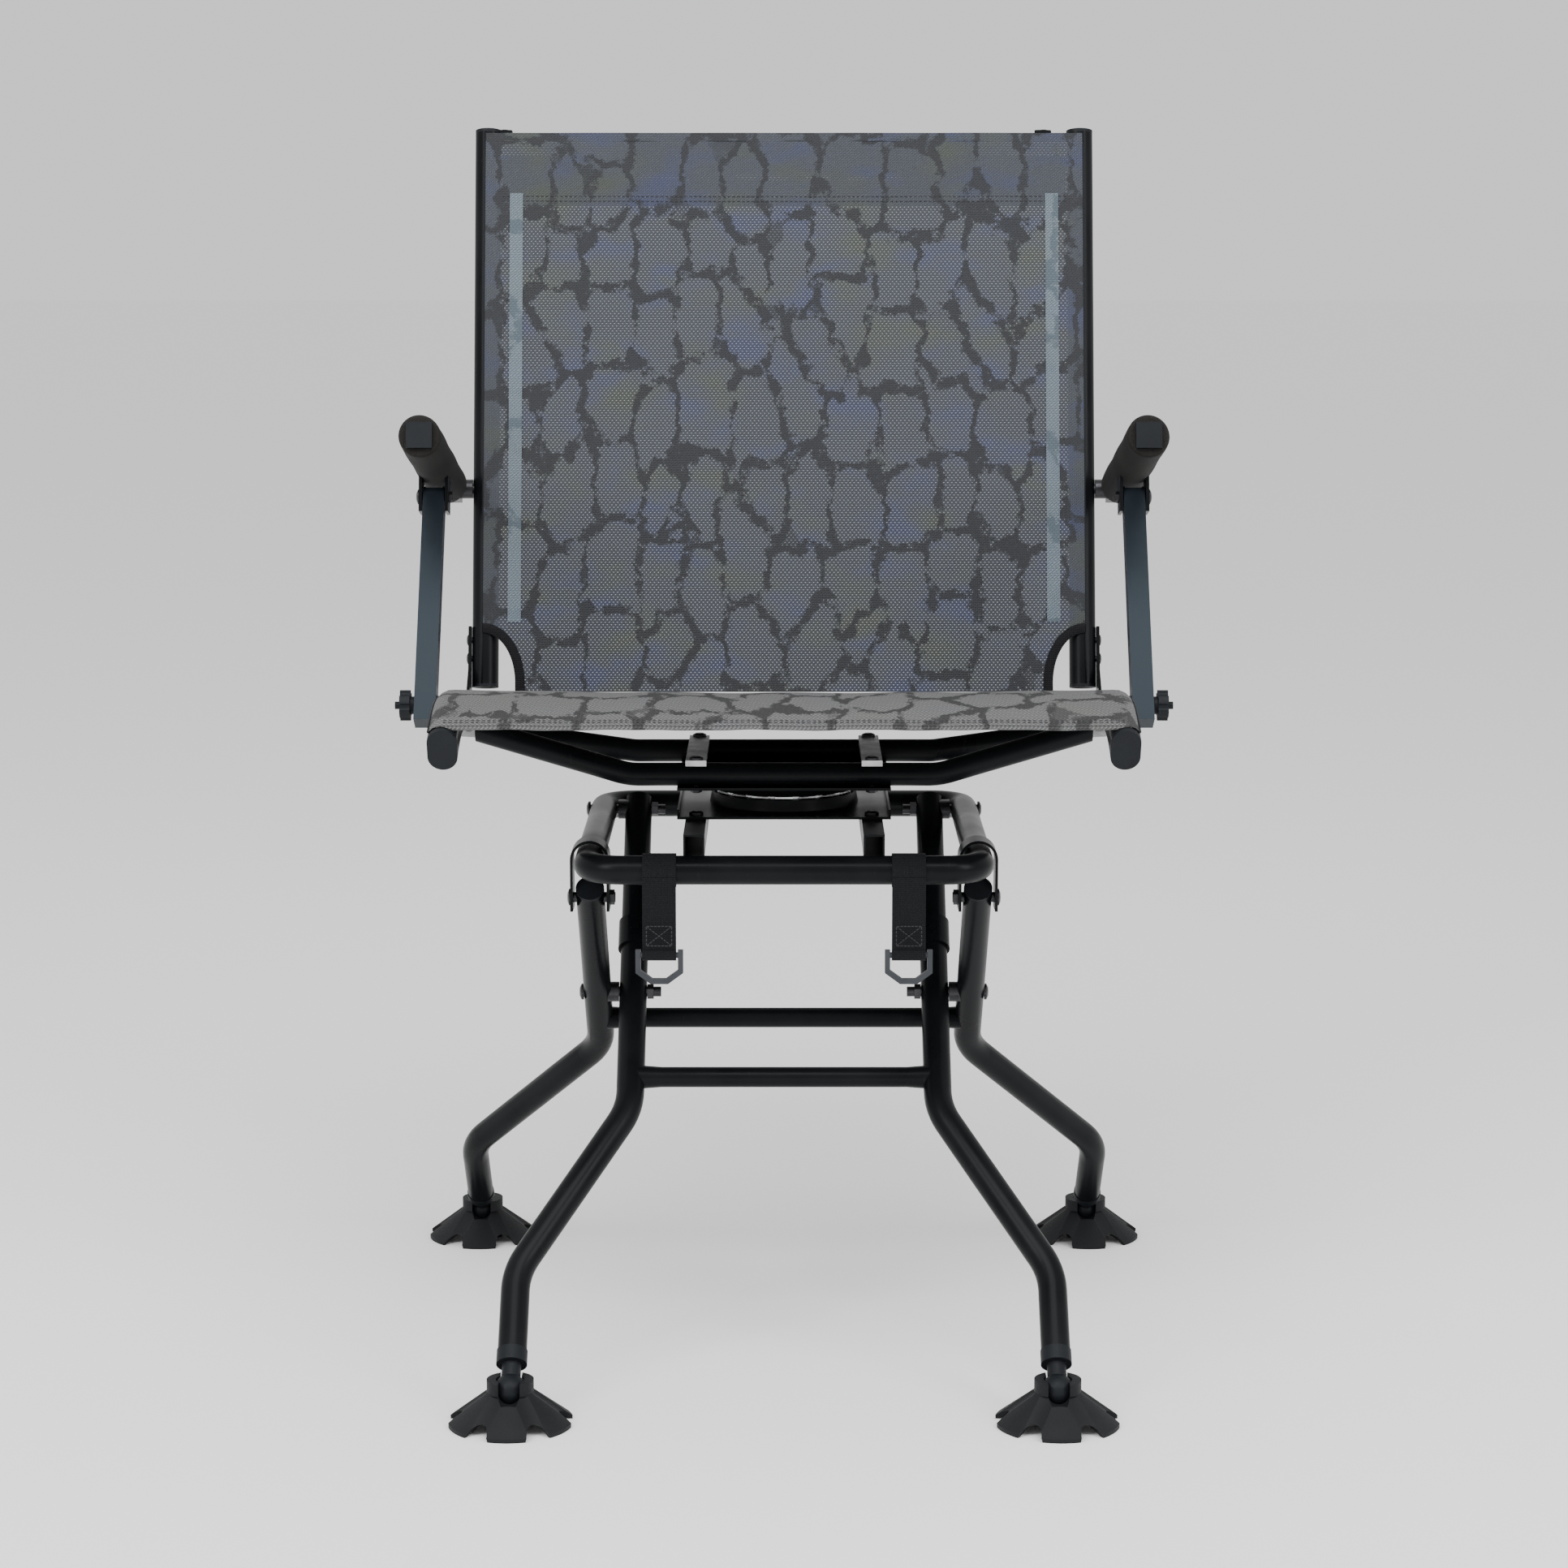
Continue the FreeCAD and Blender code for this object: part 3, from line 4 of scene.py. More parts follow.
import bpy
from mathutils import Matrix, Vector


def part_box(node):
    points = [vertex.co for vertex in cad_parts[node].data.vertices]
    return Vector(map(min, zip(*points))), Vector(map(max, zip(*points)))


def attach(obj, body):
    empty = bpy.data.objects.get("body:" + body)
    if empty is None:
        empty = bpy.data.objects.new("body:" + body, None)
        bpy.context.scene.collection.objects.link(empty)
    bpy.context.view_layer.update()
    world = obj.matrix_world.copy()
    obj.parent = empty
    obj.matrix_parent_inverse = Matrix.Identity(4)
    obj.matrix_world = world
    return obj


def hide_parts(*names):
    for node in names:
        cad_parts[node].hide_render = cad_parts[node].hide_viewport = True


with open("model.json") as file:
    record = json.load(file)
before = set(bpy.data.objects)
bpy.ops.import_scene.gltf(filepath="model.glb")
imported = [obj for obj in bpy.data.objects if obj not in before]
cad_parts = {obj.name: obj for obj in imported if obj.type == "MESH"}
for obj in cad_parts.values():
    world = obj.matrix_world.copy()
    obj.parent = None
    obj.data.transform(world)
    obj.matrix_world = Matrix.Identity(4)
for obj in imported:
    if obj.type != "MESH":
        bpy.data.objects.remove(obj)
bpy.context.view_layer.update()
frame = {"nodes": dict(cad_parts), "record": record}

MM = 0.001
JOINTS = {joint["name"]: joint for joint in frame["record"]["behaviour"]["joints"]}
HINGE = Vector(JOINTS["back_fold"]["pos_m"])
SIDES = (("left", -1), ("right", 1))

# The frame's own directions: the back's lean, the seat rails' slope and the arms' slope.
LEAN = math.radians(13.27)
BACK_UP = Vector((0, math.sin(LEAN), math.cos(LEAN)))
BACK_FRONT = Vector((0, -math.cos(LEAN), math.sin(LEAN)))
SLOPE = math.radians(8.6)
NOSE_TURN = math.radians(33.6)
NOSE_RADIUS = 155 * MM
ARM_SLOPE = math.radians(13.5)
ARM_FORWARD = Vector((0, -math.cos(ARM_SLOPE), math.sin(ARM_SLOPE)))
ARM_UP = Vector((0, math.sin(ARM_SLOPE), math.cos(ARM_SLOPE)))
TUBE_RADIUS = 11 * MM  # of the posts, and of the seat rails' rounds


# ---------- materials ----------

MIX_FACTOR, MIX_FIRST, MIX_SECOND, MIX_RESULT = 0, 6, 7, 2  # the colour sockets of a Mix node, by number
WARP_METRES = 0.028  # how far the noise bends the printed plates' edges
TWILL_PITCH, ROW_PITCH, COLUMN_PITCH = 0.0030, 0.0021, 0.0034  # metres


class Graph:
    """A material's node tree, built by name."""

    def __init__(self, name):
        self.material = bpy.data.materials.new(name)
        self.material.use_nodes = True
        self.tree = self.material.node_tree
        self.surface = self.tree.nodes["Principled BSDF"]

    def put(self, socket, value):
        if isinstance(value, bpy.types.NodeSocket):
            self.tree.links.new(value, socket)
        else:
            socket.default_value = value

    def node(self, kind, inputs=None, **fields):
        made = self.tree.nodes.new(kind)
        for field, value in fields.items():
            setattr(made, field, value)
        for key, value in (inputs or {}).items():
            self.put(made.inputs[key], value)
        return made

    def math(self, operation, first, second=0.0):
        return self.node("ShaderNodeMath", {0: first, 1: second}, operation=operation).outputs[0]

    def vector(self, operation, first, second):
        return self.node("ShaderNodeVectorMath", {0: first, 1: second}, operation=operation).outputs[0]

    def place(self):
        return self.node("ShaderNodeTexCoord").outputs["Object"]

    def scaled(self, place, scale, move=(0, 0, 0)):
        return self.node("ShaderNodeMapping", {"Vector": place, "Scale": scale, "Location": move}).outputs[0]

    def noise(self, place, scale, detail=3.0, rough=0.5):
        inputs = {"Vector": place, "Scale": scale, "Detail": detail, "Roughness": rough}
        return self.node("ShaderNodeTexNoise", inputs).outputs[0]

    def mix(self, amount, first, second):
        inputs = {MIX_FACTOR: amount, MIX_FIRST: first, MIX_SECOND: second}
        return self.node("ShaderNodeMix", inputs, data_type="RGBA").outputs[MIX_RESULT]

    def span(self, value, low, high, to_low=0.0, to_high=1.0):
        inputs = {0: value, 1: low, 2: high, 3: to_low, 4: to_high}
        return self.node("ShaderNodeMapRange", inputs).outputs[0]

    def bump(self, height, distance, strength):
        inputs = {"Height": height, "Distance": distance, "Strength": strength}
        return self.node("ShaderNodeBump", inputs).outputs[0]

    def finish(self, **values):
        for key, value in values.items():
            self.put(self.surface.inputs[key.replace("_", " ")], value)
        return self.material


def rgba(shade, gain=1.0, lift=0.0):
    """A shade made lighter or darker, as the four numbers of a colour socket."""
    return (*[part * gain + lift for part in shade], 1)


def powder_coat(name, shade, rough, specular=0.09, tint=(1, 1, 1, 1)):
    """Black powder coat: fine orange-peel, faint dust and scuffs."""
    graph = Graph(name)
    place = graph.place()
    peel = graph.noise(place, 1100.0, 2.0)
    cloud = graph.noise(place, 14.0, 4.0)
    scuff = graph.span(graph.noise(graph.scaled(place, (60, 60, 9)), 4.0, 6.0, 0.7), 0.62, 0.72)
    colour = graph.mix(graph.span(cloud, 0.35, 0.7), rgba(shade), rgba(shade, 1.5, 0.002))
    colour = graph.mix(graph.math("MULTIPLY", scuff, 0.18), colour, (0.03, 0.03, 0.033, 1))
    roughness = graph.math("ADD", graph.span(cloud, 0.3, 0.7, rough - 0.05, rough + 0.06),
                           graph.math("MULTIPLY", scuff, 0.1))
    return graph.finish(Base_Color=colour, Roughness=roughness, Specular_IOR_Level=specular,
                        Specular_Tint=tint, Normal=graph.bump(peel, 0.00012, 0.35))


def dark_metal(name, shade, rough):
    """Blackened or bright metal with fine turning marks."""
    graph = Graph(name)
    place = graph.place()
    marks = graph.noise(graph.scaled(place, (1, 1, 9)), 420.0, 3.0)
    stain = graph.noise(place, 60.0, 4.0)
    colour = graph.mix(graph.span(stain, 0.35, 0.65), rgba(shade), rgba(shade, 0.6))
    roughness = graph.span(marks, 0.3, 0.7, rough - 0.07, rough + 0.1)
    return graph.finish(Base_Color=colour, Roughness=roughness, Metallic=0.9,
                        Normal=graph.bump(marks, 0.00008, 0.4))


def moulded_plastic(name, shade, rough, grain=900.0):
    """Moulded plastic with a spark-eroded grain."""
    graph = Graph(name)
    place = graph.place()
    pits = graph.noise(place, grain, 2.0)
    cloud = graph.noise(place, 30.0, 3.0)
    colour = graph.mix(graph.span(cloud, 0.3, 0.7), rgba(shade), rgba(shade, 1.35))
    return graph.finish(Base_Color=colour, Roughness=graph.span(pits, 0.3, 0.7, rough - 0.06, rough + 0.08),
                        Specular_IOR_Level=0.15, Normal=graph.bump(pits, 0.0002, 0.5))


def foam_rubber(name):
    """Closed-cell foam: fine grain, faint brown cast, soft sheen."""
    graph = Graph(name)
    place = graph.place()
    grain = graph.noise(place, 1300.0, 4.0, 0.7)
    pores = graph.node("ShaderNodeTexVoronoi", {"Vector": place, "Scale": 700.0}).outputs[0]
    cloud = graph.noise(place, 22.0, 4.0)
    colour = graph.mix(graph.span(cloud, 0.35, 0.7), (0.005, 0.0047, 0.0045, 1), (0.011, 0.010, 0.009, 1))
    colour = graph.mix(graph.span(grain, 0.4, 0.75, 0.0, 0.5), colour, (0.040, 0.036, 0.033, 1))
    height = graph.math("ADD", grain, graph.math("MULTIPLY", pores, 0.6))
    return graph.finish(Base_Color=colour, Roughness=0.8, Sheen_Weight=0.02, Specular_IOR_Level=0.15,
                        Normal=graph.bump(height, 0.0005, 0.6))


def bark_plates(graph, place, plate_scale):
    """Upright blocky plates, warped by noise: the mask of the cracks between them, and each plate's tone."""
    warp = graph.node("ShaderNodeTexNoise", {"Vector": place, "Scale": 45.0, "Detail": 6.0, "Roughness": 0.7})
    shift = graph.vector("SUBTRACT", warp.outputs["Color"], (0.5, 0.5, 0.5))
    shift = graph.node("ShaderNodeVectorMath", {0: shift, "Scale": WARP_METRES}, operation="SCALE").outputs[0]
    moved = graph.vector("ADD", place, shift)
    cells = {"Vector": graph.scaled(moved, plate_scale), "Scale": 1.0, "Randomness": 0.8}
    nearest, second = [graph.node("ShaderNodeTexVoronoi", cells, voronoi_dimensions="2D", feature=feature,
                                  distance="CHEBYCHEV") for feature in ("F1", "F2")]
    edge = graph.math("SUBTRACT", second.outputs["Distance"], nearest.outputs["Distance"])
    broken = graph.noise(moved, 60.0, 4.0, 0.65)
    cracks = graph.math("MULTIPLY", graph.span(edge, 0.15, 0.10), graph.span(broken, 0.40, 0.46))
    tone = graph.node("ShaderNodeSeparateColor", {0: nearest.outputs["Color"]}).outputs[0]
    return cracks, tone


def tint_patches(graph, place, low, high, strength, move=(0, 0, 0)):
    """Soft patches a few centimetres across."""
    spread = graph.scaled(place, (1, 1.6, 1), move)
    return graph.span(graph.noise(spread, 15.0, 3.0), low, high, 0.0, strength)


def twill_stripes(graph, across, along):
    """Fine slanted stripes."""
    slanted = graph.math("ADD", across, graph.math("MULTIPLY", along, -1.25))
    wave = graph.math("SINE", graph.math("MULTIPLY", slanted, 2 * math.pi / TWILL_PITCH))
    return graph.span(wave, -0.2, 0.5)


def open_weave(graph, across, along):
    """Threads each way in a brick bond: their two waves, and how near a place is to a hole's middle."""
    rows = graph.math("SINE", graph.math("MULTIPLY", along, 2 * math.pi / ROW_PITCH))
    brick = graph.math("MULTIPLY", graph.math("ROUND", graph.math("MULTIPLY", along, 1 / ROW_PITCH)), math.pi)
    columns = graph.math("MULTIPLY", across, 2 * math.pi / COLUMN_PITCH)
    columns = graph.math("SINE", graph.math("ADD", columns, brick))
    return rows, columns, graph.math("MULTIPLY", graph.span(rows, -1, 1), graph.span(columns, -1, 1))


def printed_mesh(name, base, crack, lift, stripe, plate_scale, tint, hole=0.0, opening=0.0):
    """Open woven plastic mesh with a bark print. The UV map is in metres, so the weave keeps its size."""
    graph = Graph(name)
    place = graph.node("ShaderNodeUVMap", uv_map="metres").outputs[0]
    split = graph.node("ShaderNodeSeparateXYZ", {0: place})
    across, along = split.outputs[0], split.outputs[1]
    red, green, blue = base
    cracks, tone = bark_plates(graph, place, plate_scale)
    colour = graph.mix(graph.span(tone, 0.2, 0.9, 0.0, 0.35), rgba(base), rgba(base, 0.66))
    bluish = tint_patches(graph, place, 0.50, 0.66, tint)
    colour = graph.mix(bluish, colour, (red * 0.72, green * 0.82, blue * 1.75, 1))
    olive = tint_patches(graph, place, 0.52, 0.68, tint, (3.1, 1.7, 0))
    colour = graph.mix(olive, colour, (red * 1.12, green * 1.16, blue * 0.5, 1))
    # the stripes thin the cracks a little and lie faintly over the plates; on the seat they are strong and
    # pale, painted light from above
    twill = twill_stripes(graph, across, along)
    dark = graph.math("MULTIPLY", cracks, graph.span(twill, 0, 1, 1.0, 0.8))
    colour = graph.mix(dark, colour, rgba(crack))
    clear_of_cracks = graph.math("SUBTRACT", 1.0, graph.math("MULTIPLY", cracks, 0.9))
    lines = graph.math("MULTIPLY", graph.math("MULTIPLY", twill, stripe), clear_of_cracks)
    colour = graph.mix(lines, colour, rgba(lift))
    rows, columns, weave = open_weave(graph, across, along)
    # painted light: the weave is darkened away from its peaks and left lighter at them, painted shade and
    # highlights of the threads
    colour = graph.mix(graph.span(weave, 0.05, 0.5, 0.55, 0.0), colour, rgba(base, 0.35))
    if hole:
        see_through = graph.span(weave, 1 - opening, 1 - opening + 0.12, 1.0, 1.0 - hole)
        graph.put(graph.surface.inputs["Alpha"], graph.math("MAXIMUM", see_through, cracks))
    height = graph.math("ADD", graph.math("ABSOLUTE", rows), graph.math("ABSOLUTE", columns))
    return graph.finish(Base_Color=colour, Roughness=0.55, Specular_IOR_Level=0.4,
                        Normal=graph.bump(height, 0.0004, 0.5))


def webbing(name, shade):
    """Narrow woven strap: ribs across with a beaded face."""
    graph = Graph(name)
    place = graph.place()
    split = graph.node("ShaderNodeSeparateXYZ", {0: place})
    across = graph.math("MULTIPLY", split.outputs[0], 2 * math.pi / 0.0023)
    rise = graph.math("MULTIPLY", split.outputs[2], 2 * math.pi / 0.0030)
    beads = graph.math("MULTIPLY", graph.math("SINE", across), graph.math("SINE", rise))
    beads = graph.math("ABSOLUTE", beads)
    fuzz = graph.noise(place, 900.0, 3.0)
    colour = graph.mix(graph.span(beads, 0.1, 0.9), rgba(shade, 0.35), rgba(shade))
    colour = graph.mix(graph.span(fuzz, 0.5, 0.9, 0.0, 0.4), colour, (0.020, 0.023, 0.027, 1))
    height = graph.math("ADD", beads, graph.math("MULTIPLY", fuzz, 0.4))
    return graph.finish(Base_Color=colour, Roughness=0.78, Sheen_Weight=0.03, Specular_IOR_Level=0.15,
                        Normal=graph.bump(height, 0.0006, 0.8))


def plain_floor(name):
    """Pale matt floor."""
    graph = Graph(name)
    speck = graph.noise(graph.place(), 40.0, 3.0)
    return graph.finish(Base_Color=(0.96, 0.96, 0.96, 1), Roughness=graph.span(speck, 0.3, 0.7, 0.7, 0.8))


LOOKS = {
    "frame_black": powder_coat("look_frame_black", (0.003, 0.0035, 0.0042), 0.3),
    "bolt_dark": dark_metal("look_bolt_dark", (0.05, 0.05, 0.054), 0.34),
    "tie_steel": dark_metal("look_tie_steel", (0.62, 0.62, 0.62), 0.38),
    "ball_steel": dark_metal("look_ball_steel", (0.7, 0.7, 0.72), 0.16),
    "plug_plastic": moulded_plastic("look_plug_plastic", (0.006, 0.0072, 0.009), 0.5),
    "ring_plastic": moulded_plastic("look_ring_plastic", (0.03, 0.032, 0.036), 0.4, 500.0),
    "foot_rubber": moulded_plastic("look_foot_rubber", (0.0085, 0.009, 0.010), 0.58, 700.0),
    "mesh_fabric": printed_mesh("look_mesh_back", base=(0.034, 0.040, 0.054), crack=(0.003, 0.0035, 0.005),
                                lift=(0.20, 0.215, 0.245), stripe=0.13, plate_scale=(25.0, 15.0, 1.0),
                                tint=0.8, hole=0.6, opening=0.22),
    "web_fabric": webbing("look_web_fabric", (0.007, 0.008, 0.010)),
    "grip_foam": foam_rubber("look_grip_foam"),
}
# painted light: a lighter copy of the mesh fabric, with strong pale stripes, standing for the light from
# above on the level seat
SEAT_MESH_PAINTED_LIGHT = printed_mesh("look_mesh_seat_painted_light", base=(0.085, 0.085, 0.086), crack=(0.004, 0.004, 0.004),
                         lift=(0.30, 0.30, 0.295), stripe=0.5, plate_scale=(20.0, 24.0, 1.0), tint=0.1)
HEM_MESH = printed_mesh("look_mesh_hem", base=(0.10, 0.135, 0.165), crack=(0.06, 0.085, 0.105),
                        lift=(0.36, 0.42, 0.46), stripe=0.3, plate_scale=(21.0, 13.0, 1.0), tint=0.1,
                        hole=0.4, opening=0.4)
# painted reflection: the struts are the same black powder coat as the frame, given a lighter bluish shade and
# a bluish specular tint that stand for the bright light reflected in their front faces
STRUT_COAT_PAINTED_REFLECTION = powder_coat("look_strut_coat_painted_reflection", (0.006, 0.0085, 0.0115), 0.33, specular=0.2,
                         tint=(0.72, 0.87, 1.0, 1))
TAPE = webbing("look_edge_tape", (0.012, 0.012, 0.014))
THREAD = moulded_plastic("look_thread", (0.03, 0.03, 0.033), 0.6)

SLOT_OF = {entry["node"]: entry["material_slot"] for entry in frame["record"]["subparts"]}
for node_name, node in frame["nodes"].items():
    # the struts get the copy of the black coat with the painted reflection
    look = STRUT_COAT_PAINTED_REFLECTION if node_name in ("strut_left", "strut_right") else LOOKS[SLOT_OF[node_name]]
    for index in range(len(node.material_slots)):
        node.material_slots[index].material = look


# ---------- piece helpers ----------

def piece(name, vertices, faces, material, body, uvs=None, smooth=True):
    """A mesh piece that rides on a body; uvs gives a (u, v) in metres for each vertex."""
    mesh = bpy.data.meshes.new(name)
    mesh.from_pydata([tuple(vertex) for vertex in vertices], [], faces)
    mesh.update()
    if uvs:
        layer = mesh.uv_layers.new(name="metres")
        for loop in mesh.loops:
            layer.data[loop.index].uv = uvs[loop.vertex_index]
    for polygon in mesh.polygons:
        polygon.use_smooth = smooth
    made = bpy.data.objects.new(name, mesh)
    bpy.context.scene.collection.objects.link(made)
    mesh.materials.append(material)
    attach(made, body)
    return made


def grid(columns, rows, point):
    """Vertices, faces and UVs of a sheet. point(i, j) returns a place and its (u, v) in metres."""
    vertices, uvs, faces = [], [], []
    for j in range(rows + 1):
        for i in range(columns + 1):
            place, flat = point(i / columns, j / rows)
            vertices.append(place)
            uvs.append(flat)
    for j in range(rows):
        for i in range(columns):
            corner = j * (columns + 1) + i
            faces.append((corner, corner + 1, corner + columns + 2, corner + columns + 1))
    return vertices, faces, uvs


def sheet_piece(name, columns, rows, point, material, body):
    """A sheet as a piece, with columns by rows faces."""
    vertices, faces, uvs = grid(columns, rows, point)
    return piece(name, vertices, faces, material, body, uvs)


def rod(name, points, radius, material, body, sides=10):
    """A round cord through a list of points, closed at both ends."""
    vertices, faces = [], []
    for number, point in enumerate(points):
        ahead = points[min(number + 1, len(points) - 1)]
        behind = points[max(number - 1, 0)]
        along = (ahead - behind).normalized()
        side = along.cross(Vector((0.31, 0.17, 0.93))).normalized()
        top = side.cross(along)
        for step in range(sides):
            angle = 2 * math.pi * step / sides
            vertices.append(point + (side * math.cos(angle) + top * math.sin(angle)) * radius)
    for ring in range(len(points) - 1):
        for step in range(sides):
            following = (step + 1) % sides
            faces.append((ring * sides + step, ring * sides + following,
                          (ring + 1) * sides + following, (ring + 1) * sides + step))
    faces.append(tuple(range(sides - 1, -1, -1)))
    faces.append(tuple(range((len(points) - 1) * sides, len(points) * sides)))
    return piece(name, vertices, faces, material, body)


def stitches(name, starts, outward, length, body):
    """Short raised stitches: starts is a list of (place, direction)."""
    vertices, faces = [], []
    for place, direction in starts:
        along = direction.normalized() * (length / 2)
        across = along.cross(outward).normalized() * (0.35 * MM)
        high = outward * (0.45 * MM)
        base = len(vertices)
        vertices += [place - along - across, place - along + across, place + along + across]
        vertices += [place + along - across, place - along * 0.6 + high, place + along * 0.6 + high]
        faces += [(base, base + 4, base + 1), (base + 1, base + 4, base + 5, base + 2),
                  (base + 2, base + 5, base + 3), (base + 3, base + 5, base + 4, base)]
    return piece(name, vertices, faces, THREAD, body, smooth=False)


# ---------- back fabric ----------

RAIL_X = (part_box("back_post_right")[0].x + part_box("back_post_right")[1].x) / 2
POST_BEHIND_HINGE = 28 * MM
POST_FOOT_Z, POST_TOP_Z = 498 * MM, 952 * MM
BACK_FOOT = HINGE - BACK_FRONT * POST_BEHIND_HINGE
BACK_FOOT = BACK_FOOT + BACK_UP * ((POST_FOOT_Z - BACK_FOOT.z) / BACK_UP.z)
BACK_LENGTH = (POST_TOP_Z - POST_FOOT_Z) / BACK_UP.z

SLOT_X = RAIL_X + 1.5 * MM  # where the fabric goes into the posts
UNDER = 7.5 * MM  # how far the fabric goes down past the posts' feet
FABRIC_TOP = BACK_LENGTH - 2 * MM
CUT_WIDE, CUT_TALL = 27 * MM, 42 * MM  # the arched cut-outs of the lower corners
CUT_SHARE = 0.22  # the share of the fabric's rows that the cut-outs have
FABRIC_LIFT = 0.7 * MM
BACK_BELLY = 5 * MM
RIPPLE = 0.35 * MM

HEM_CENTRE = BACK_LENGTH - 9 * MM  # the spreader tube's height inside the hem
HEM_AHEAD, HEM_RISE, HEM_DEPTH = 1 * MM, 9.5 * MM, 10.6 * MM
HEM_DROP = 54 * MM
HEM_RETURN = TUBE_RADIUS + 8.2 * MM
HEM_HALF = RAIL_X - TUBE_RADIUS - 0.8 * MM
HEM_GAP = 0.8 * MM  # how far the hem stays behind the fabric
HEM_ARC_STEPS, HEM_DROP_STEPS = 8, 6
HEM_OVER_TOP = 3  # the hem's points up to this one stand in front of the fabric

STRIP_X, STRIP_WIDTH = 219 * MM, 11 * MM
STRIP_LOW, STRIP_HIGH = 51 * MM, 413 * MM
STRIP_LIFT = 0.6 * MM
TAPE_WIDTH, TAPE_LIFT, TAPE_CROWN = 8 * MM, 0.5 * MM, 1.3 * MM
TAPE_STEPS = 24
STITCH, STRAP_STITCH = 2.6 * MM, 2.0 * MM


def back_place(x, up, ahead):
    return Vector((x, 0, 0)) + BACK_FOOT + BACK_UP * up + BACK_FRONT * ahead


def back_ahead(x, up):
    """How far the stretched back fabric stands in front of the posts' centre plane."""
    share = min(1.0, abs(x) / (RAIL_X - TUBE_RADIUS))
    belly = (1 - share ** 2) * math.sin(math.pi * min(1.0, max(0.0, up / FABRIC_TOP)))
    ripple = RIPPLE * math.sin(x * 95 + up * 21) * (1 - share ** 4)
    return TUBE_RADIUS + FABRIC_LIFT - BACK_BELLY * belly + ripple


def back_half(up):
    """Half the fabric's width at a height, less at the cut-outs."""
    if up >= CUT_TALL:
        return SLOT_X
    up = max(0.0, up)
    return SLOT_X - CUT_WIDE * math.sqrt(max(0.0, 1 - (up / CUT_TALL) ** 2))


def back_point(i, j):
    if j < CUT_SHARE:
        up = (CUT_TALL + UNDER) * math.sin(j / CUT_SHARE * math.pi / 2) - UNDER
    else:
        up = CUT_TALL + (FABRIC_TOP - CUT_TALL) * (j - CUT_SHARE) / (1 - CUT_SHARE)
    x = (2 * i - 1) * back_half(up)
    return back_place(x, up, back_ahead(x, up)), (x, up)


BACK_MESH = LOOKS["mesh_fabric"]
back_fabric = sheet_piece("back_fabric", 72, 90, back_point, BACK_MESH, "back_frame")
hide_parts("back_sling")


def hem_outline():
    """The top hem from the side, as (up, ahead): over the spreader tube, then down behind the fabric."""
    route = []
    for step in range(HEM_ARC_STEPS + 1):
        angle = math.pi * step / HEM_ARC_STEPS
        route.append((HEM_CENTRE + HEM_RISE * math.sin(angle), HEM_AHEAD + HEM_DEPTH * math.cos(angle)))
    for step in range(1, HEM_DROP_STEPS + 1):
        share = step / HEM_DROP_STEPS
        route.append((HEM_CENTRE - HEM_DROP * share, HEM_AHEAD - HEM_DEPTH + HEM_RETURN * share ** 2))
    return route


def path_lengths(route):
    lengths = [0.0]
    for before, after in zip(route, route[1:]):
        lengths.append(lengths[-1] + math.hypot(after[0] - before[0], after[1] - before[1]))
    return lengths


hem_route = hem_outline()
hem_lengths = path_lengths(hem_route)


def hem_point(i, j):
    index = round(j * (len(hem_route) - 1))
    up, ahead = hem_route[index]
    x = (2 * i - 1) * HEM_HALF
    if index > HEM_OVER_TOP:
        ahead = min(ahead, back_ahead(x, up) - HEM_GAP)
    wave = 0.25 * MM * math.sin(x * 60 + up * 90)
    return back_place(x, up, ahead + wave), (x, hem_lengths[index] + FABRIC_TOP)


def side_strip(side_name, side):
    """The paler strip of doubled mesh beside a post."""
    def strip_point(i, j):
        x = side * (STRIP_X + STRIP_WIDTH * i)
        up = STRIP_LOW + (STRIP_HIGH - STRIP_LOW) * j
        return back_place(x, up, back_ahead(x, up) + STRIP_LIFT), (x, up)

    name = "back_side_hem_" + side_name
    return sheet_piece(name, 4, 40, strip_point, HEM_MESH, "back_frame")


def corner_tape(side_name, side):
    """The tape that binds the arched lower corner."""
    rim = [(0.0, CUT_WIDE, -UNDER)]
    for step in range(TAPE_STEPS + 1):
        angle = math.pi / 2 * step / TAPE_STEPS
        rim.append((angle, CUT_WIDE * math.cos(angle), CUT_TALL * math.sin(angle)))

    def tape_point(i, j):
        angle, wide, tall = rim[round(j * (len(rim) - 1))]
        x = side * (SLOT_X - wide - i * TAPE_WIDTH * math.cos(angle))
        up = tall + i * TAPE_WIDTH * math.sin(angle)
        bulge = TAPE_CROWN * math.sin(math.pi * i) + TAPE_LIFT
        return back_place(x, up, back_ahead(x, up) + bulge), (x, up)

    name = "back_corner_tape_" + side_name
    return sheet_piece(name, 8, len(rim) - 1, tape_point, TAPE, "back_frame")


def post_spline(side_name, side):
    """The plastic cord that shows in the post's slot."""
    steps = 12
    x = side * (SLOT_X + 0.7 * MM)
    line = [back_place(x, BACK_LENGTH * step / steps, TUBE_RADIUS + 0.05 * MM) for step in range(steps + 1)]
    rod("post_spline_" + side_name, line, 0.8 * MM, LOOKS["plug_plastic"], "back_frame")


def hem_fold(side_name, middle):
    """A small fold of the hem that stands over the back's top edge."""
    steps = 8
    line = []
    for step in range(steps + 1):
        x = middle + (step - steps / 2) * 1.6 * MM
        up = BACK_LENGTH + (0.2 + 0.5 * math.sin(math.pi * step / steps)) * MM
        line.append(back_place(x, up, (3 + 0.5 * math.sin(step * 1.7)) * MM))
    return rod("back_hem_fold_" + side_name, line, 2.3 * MM, LOOKS["web_fabric"], "back_frame")


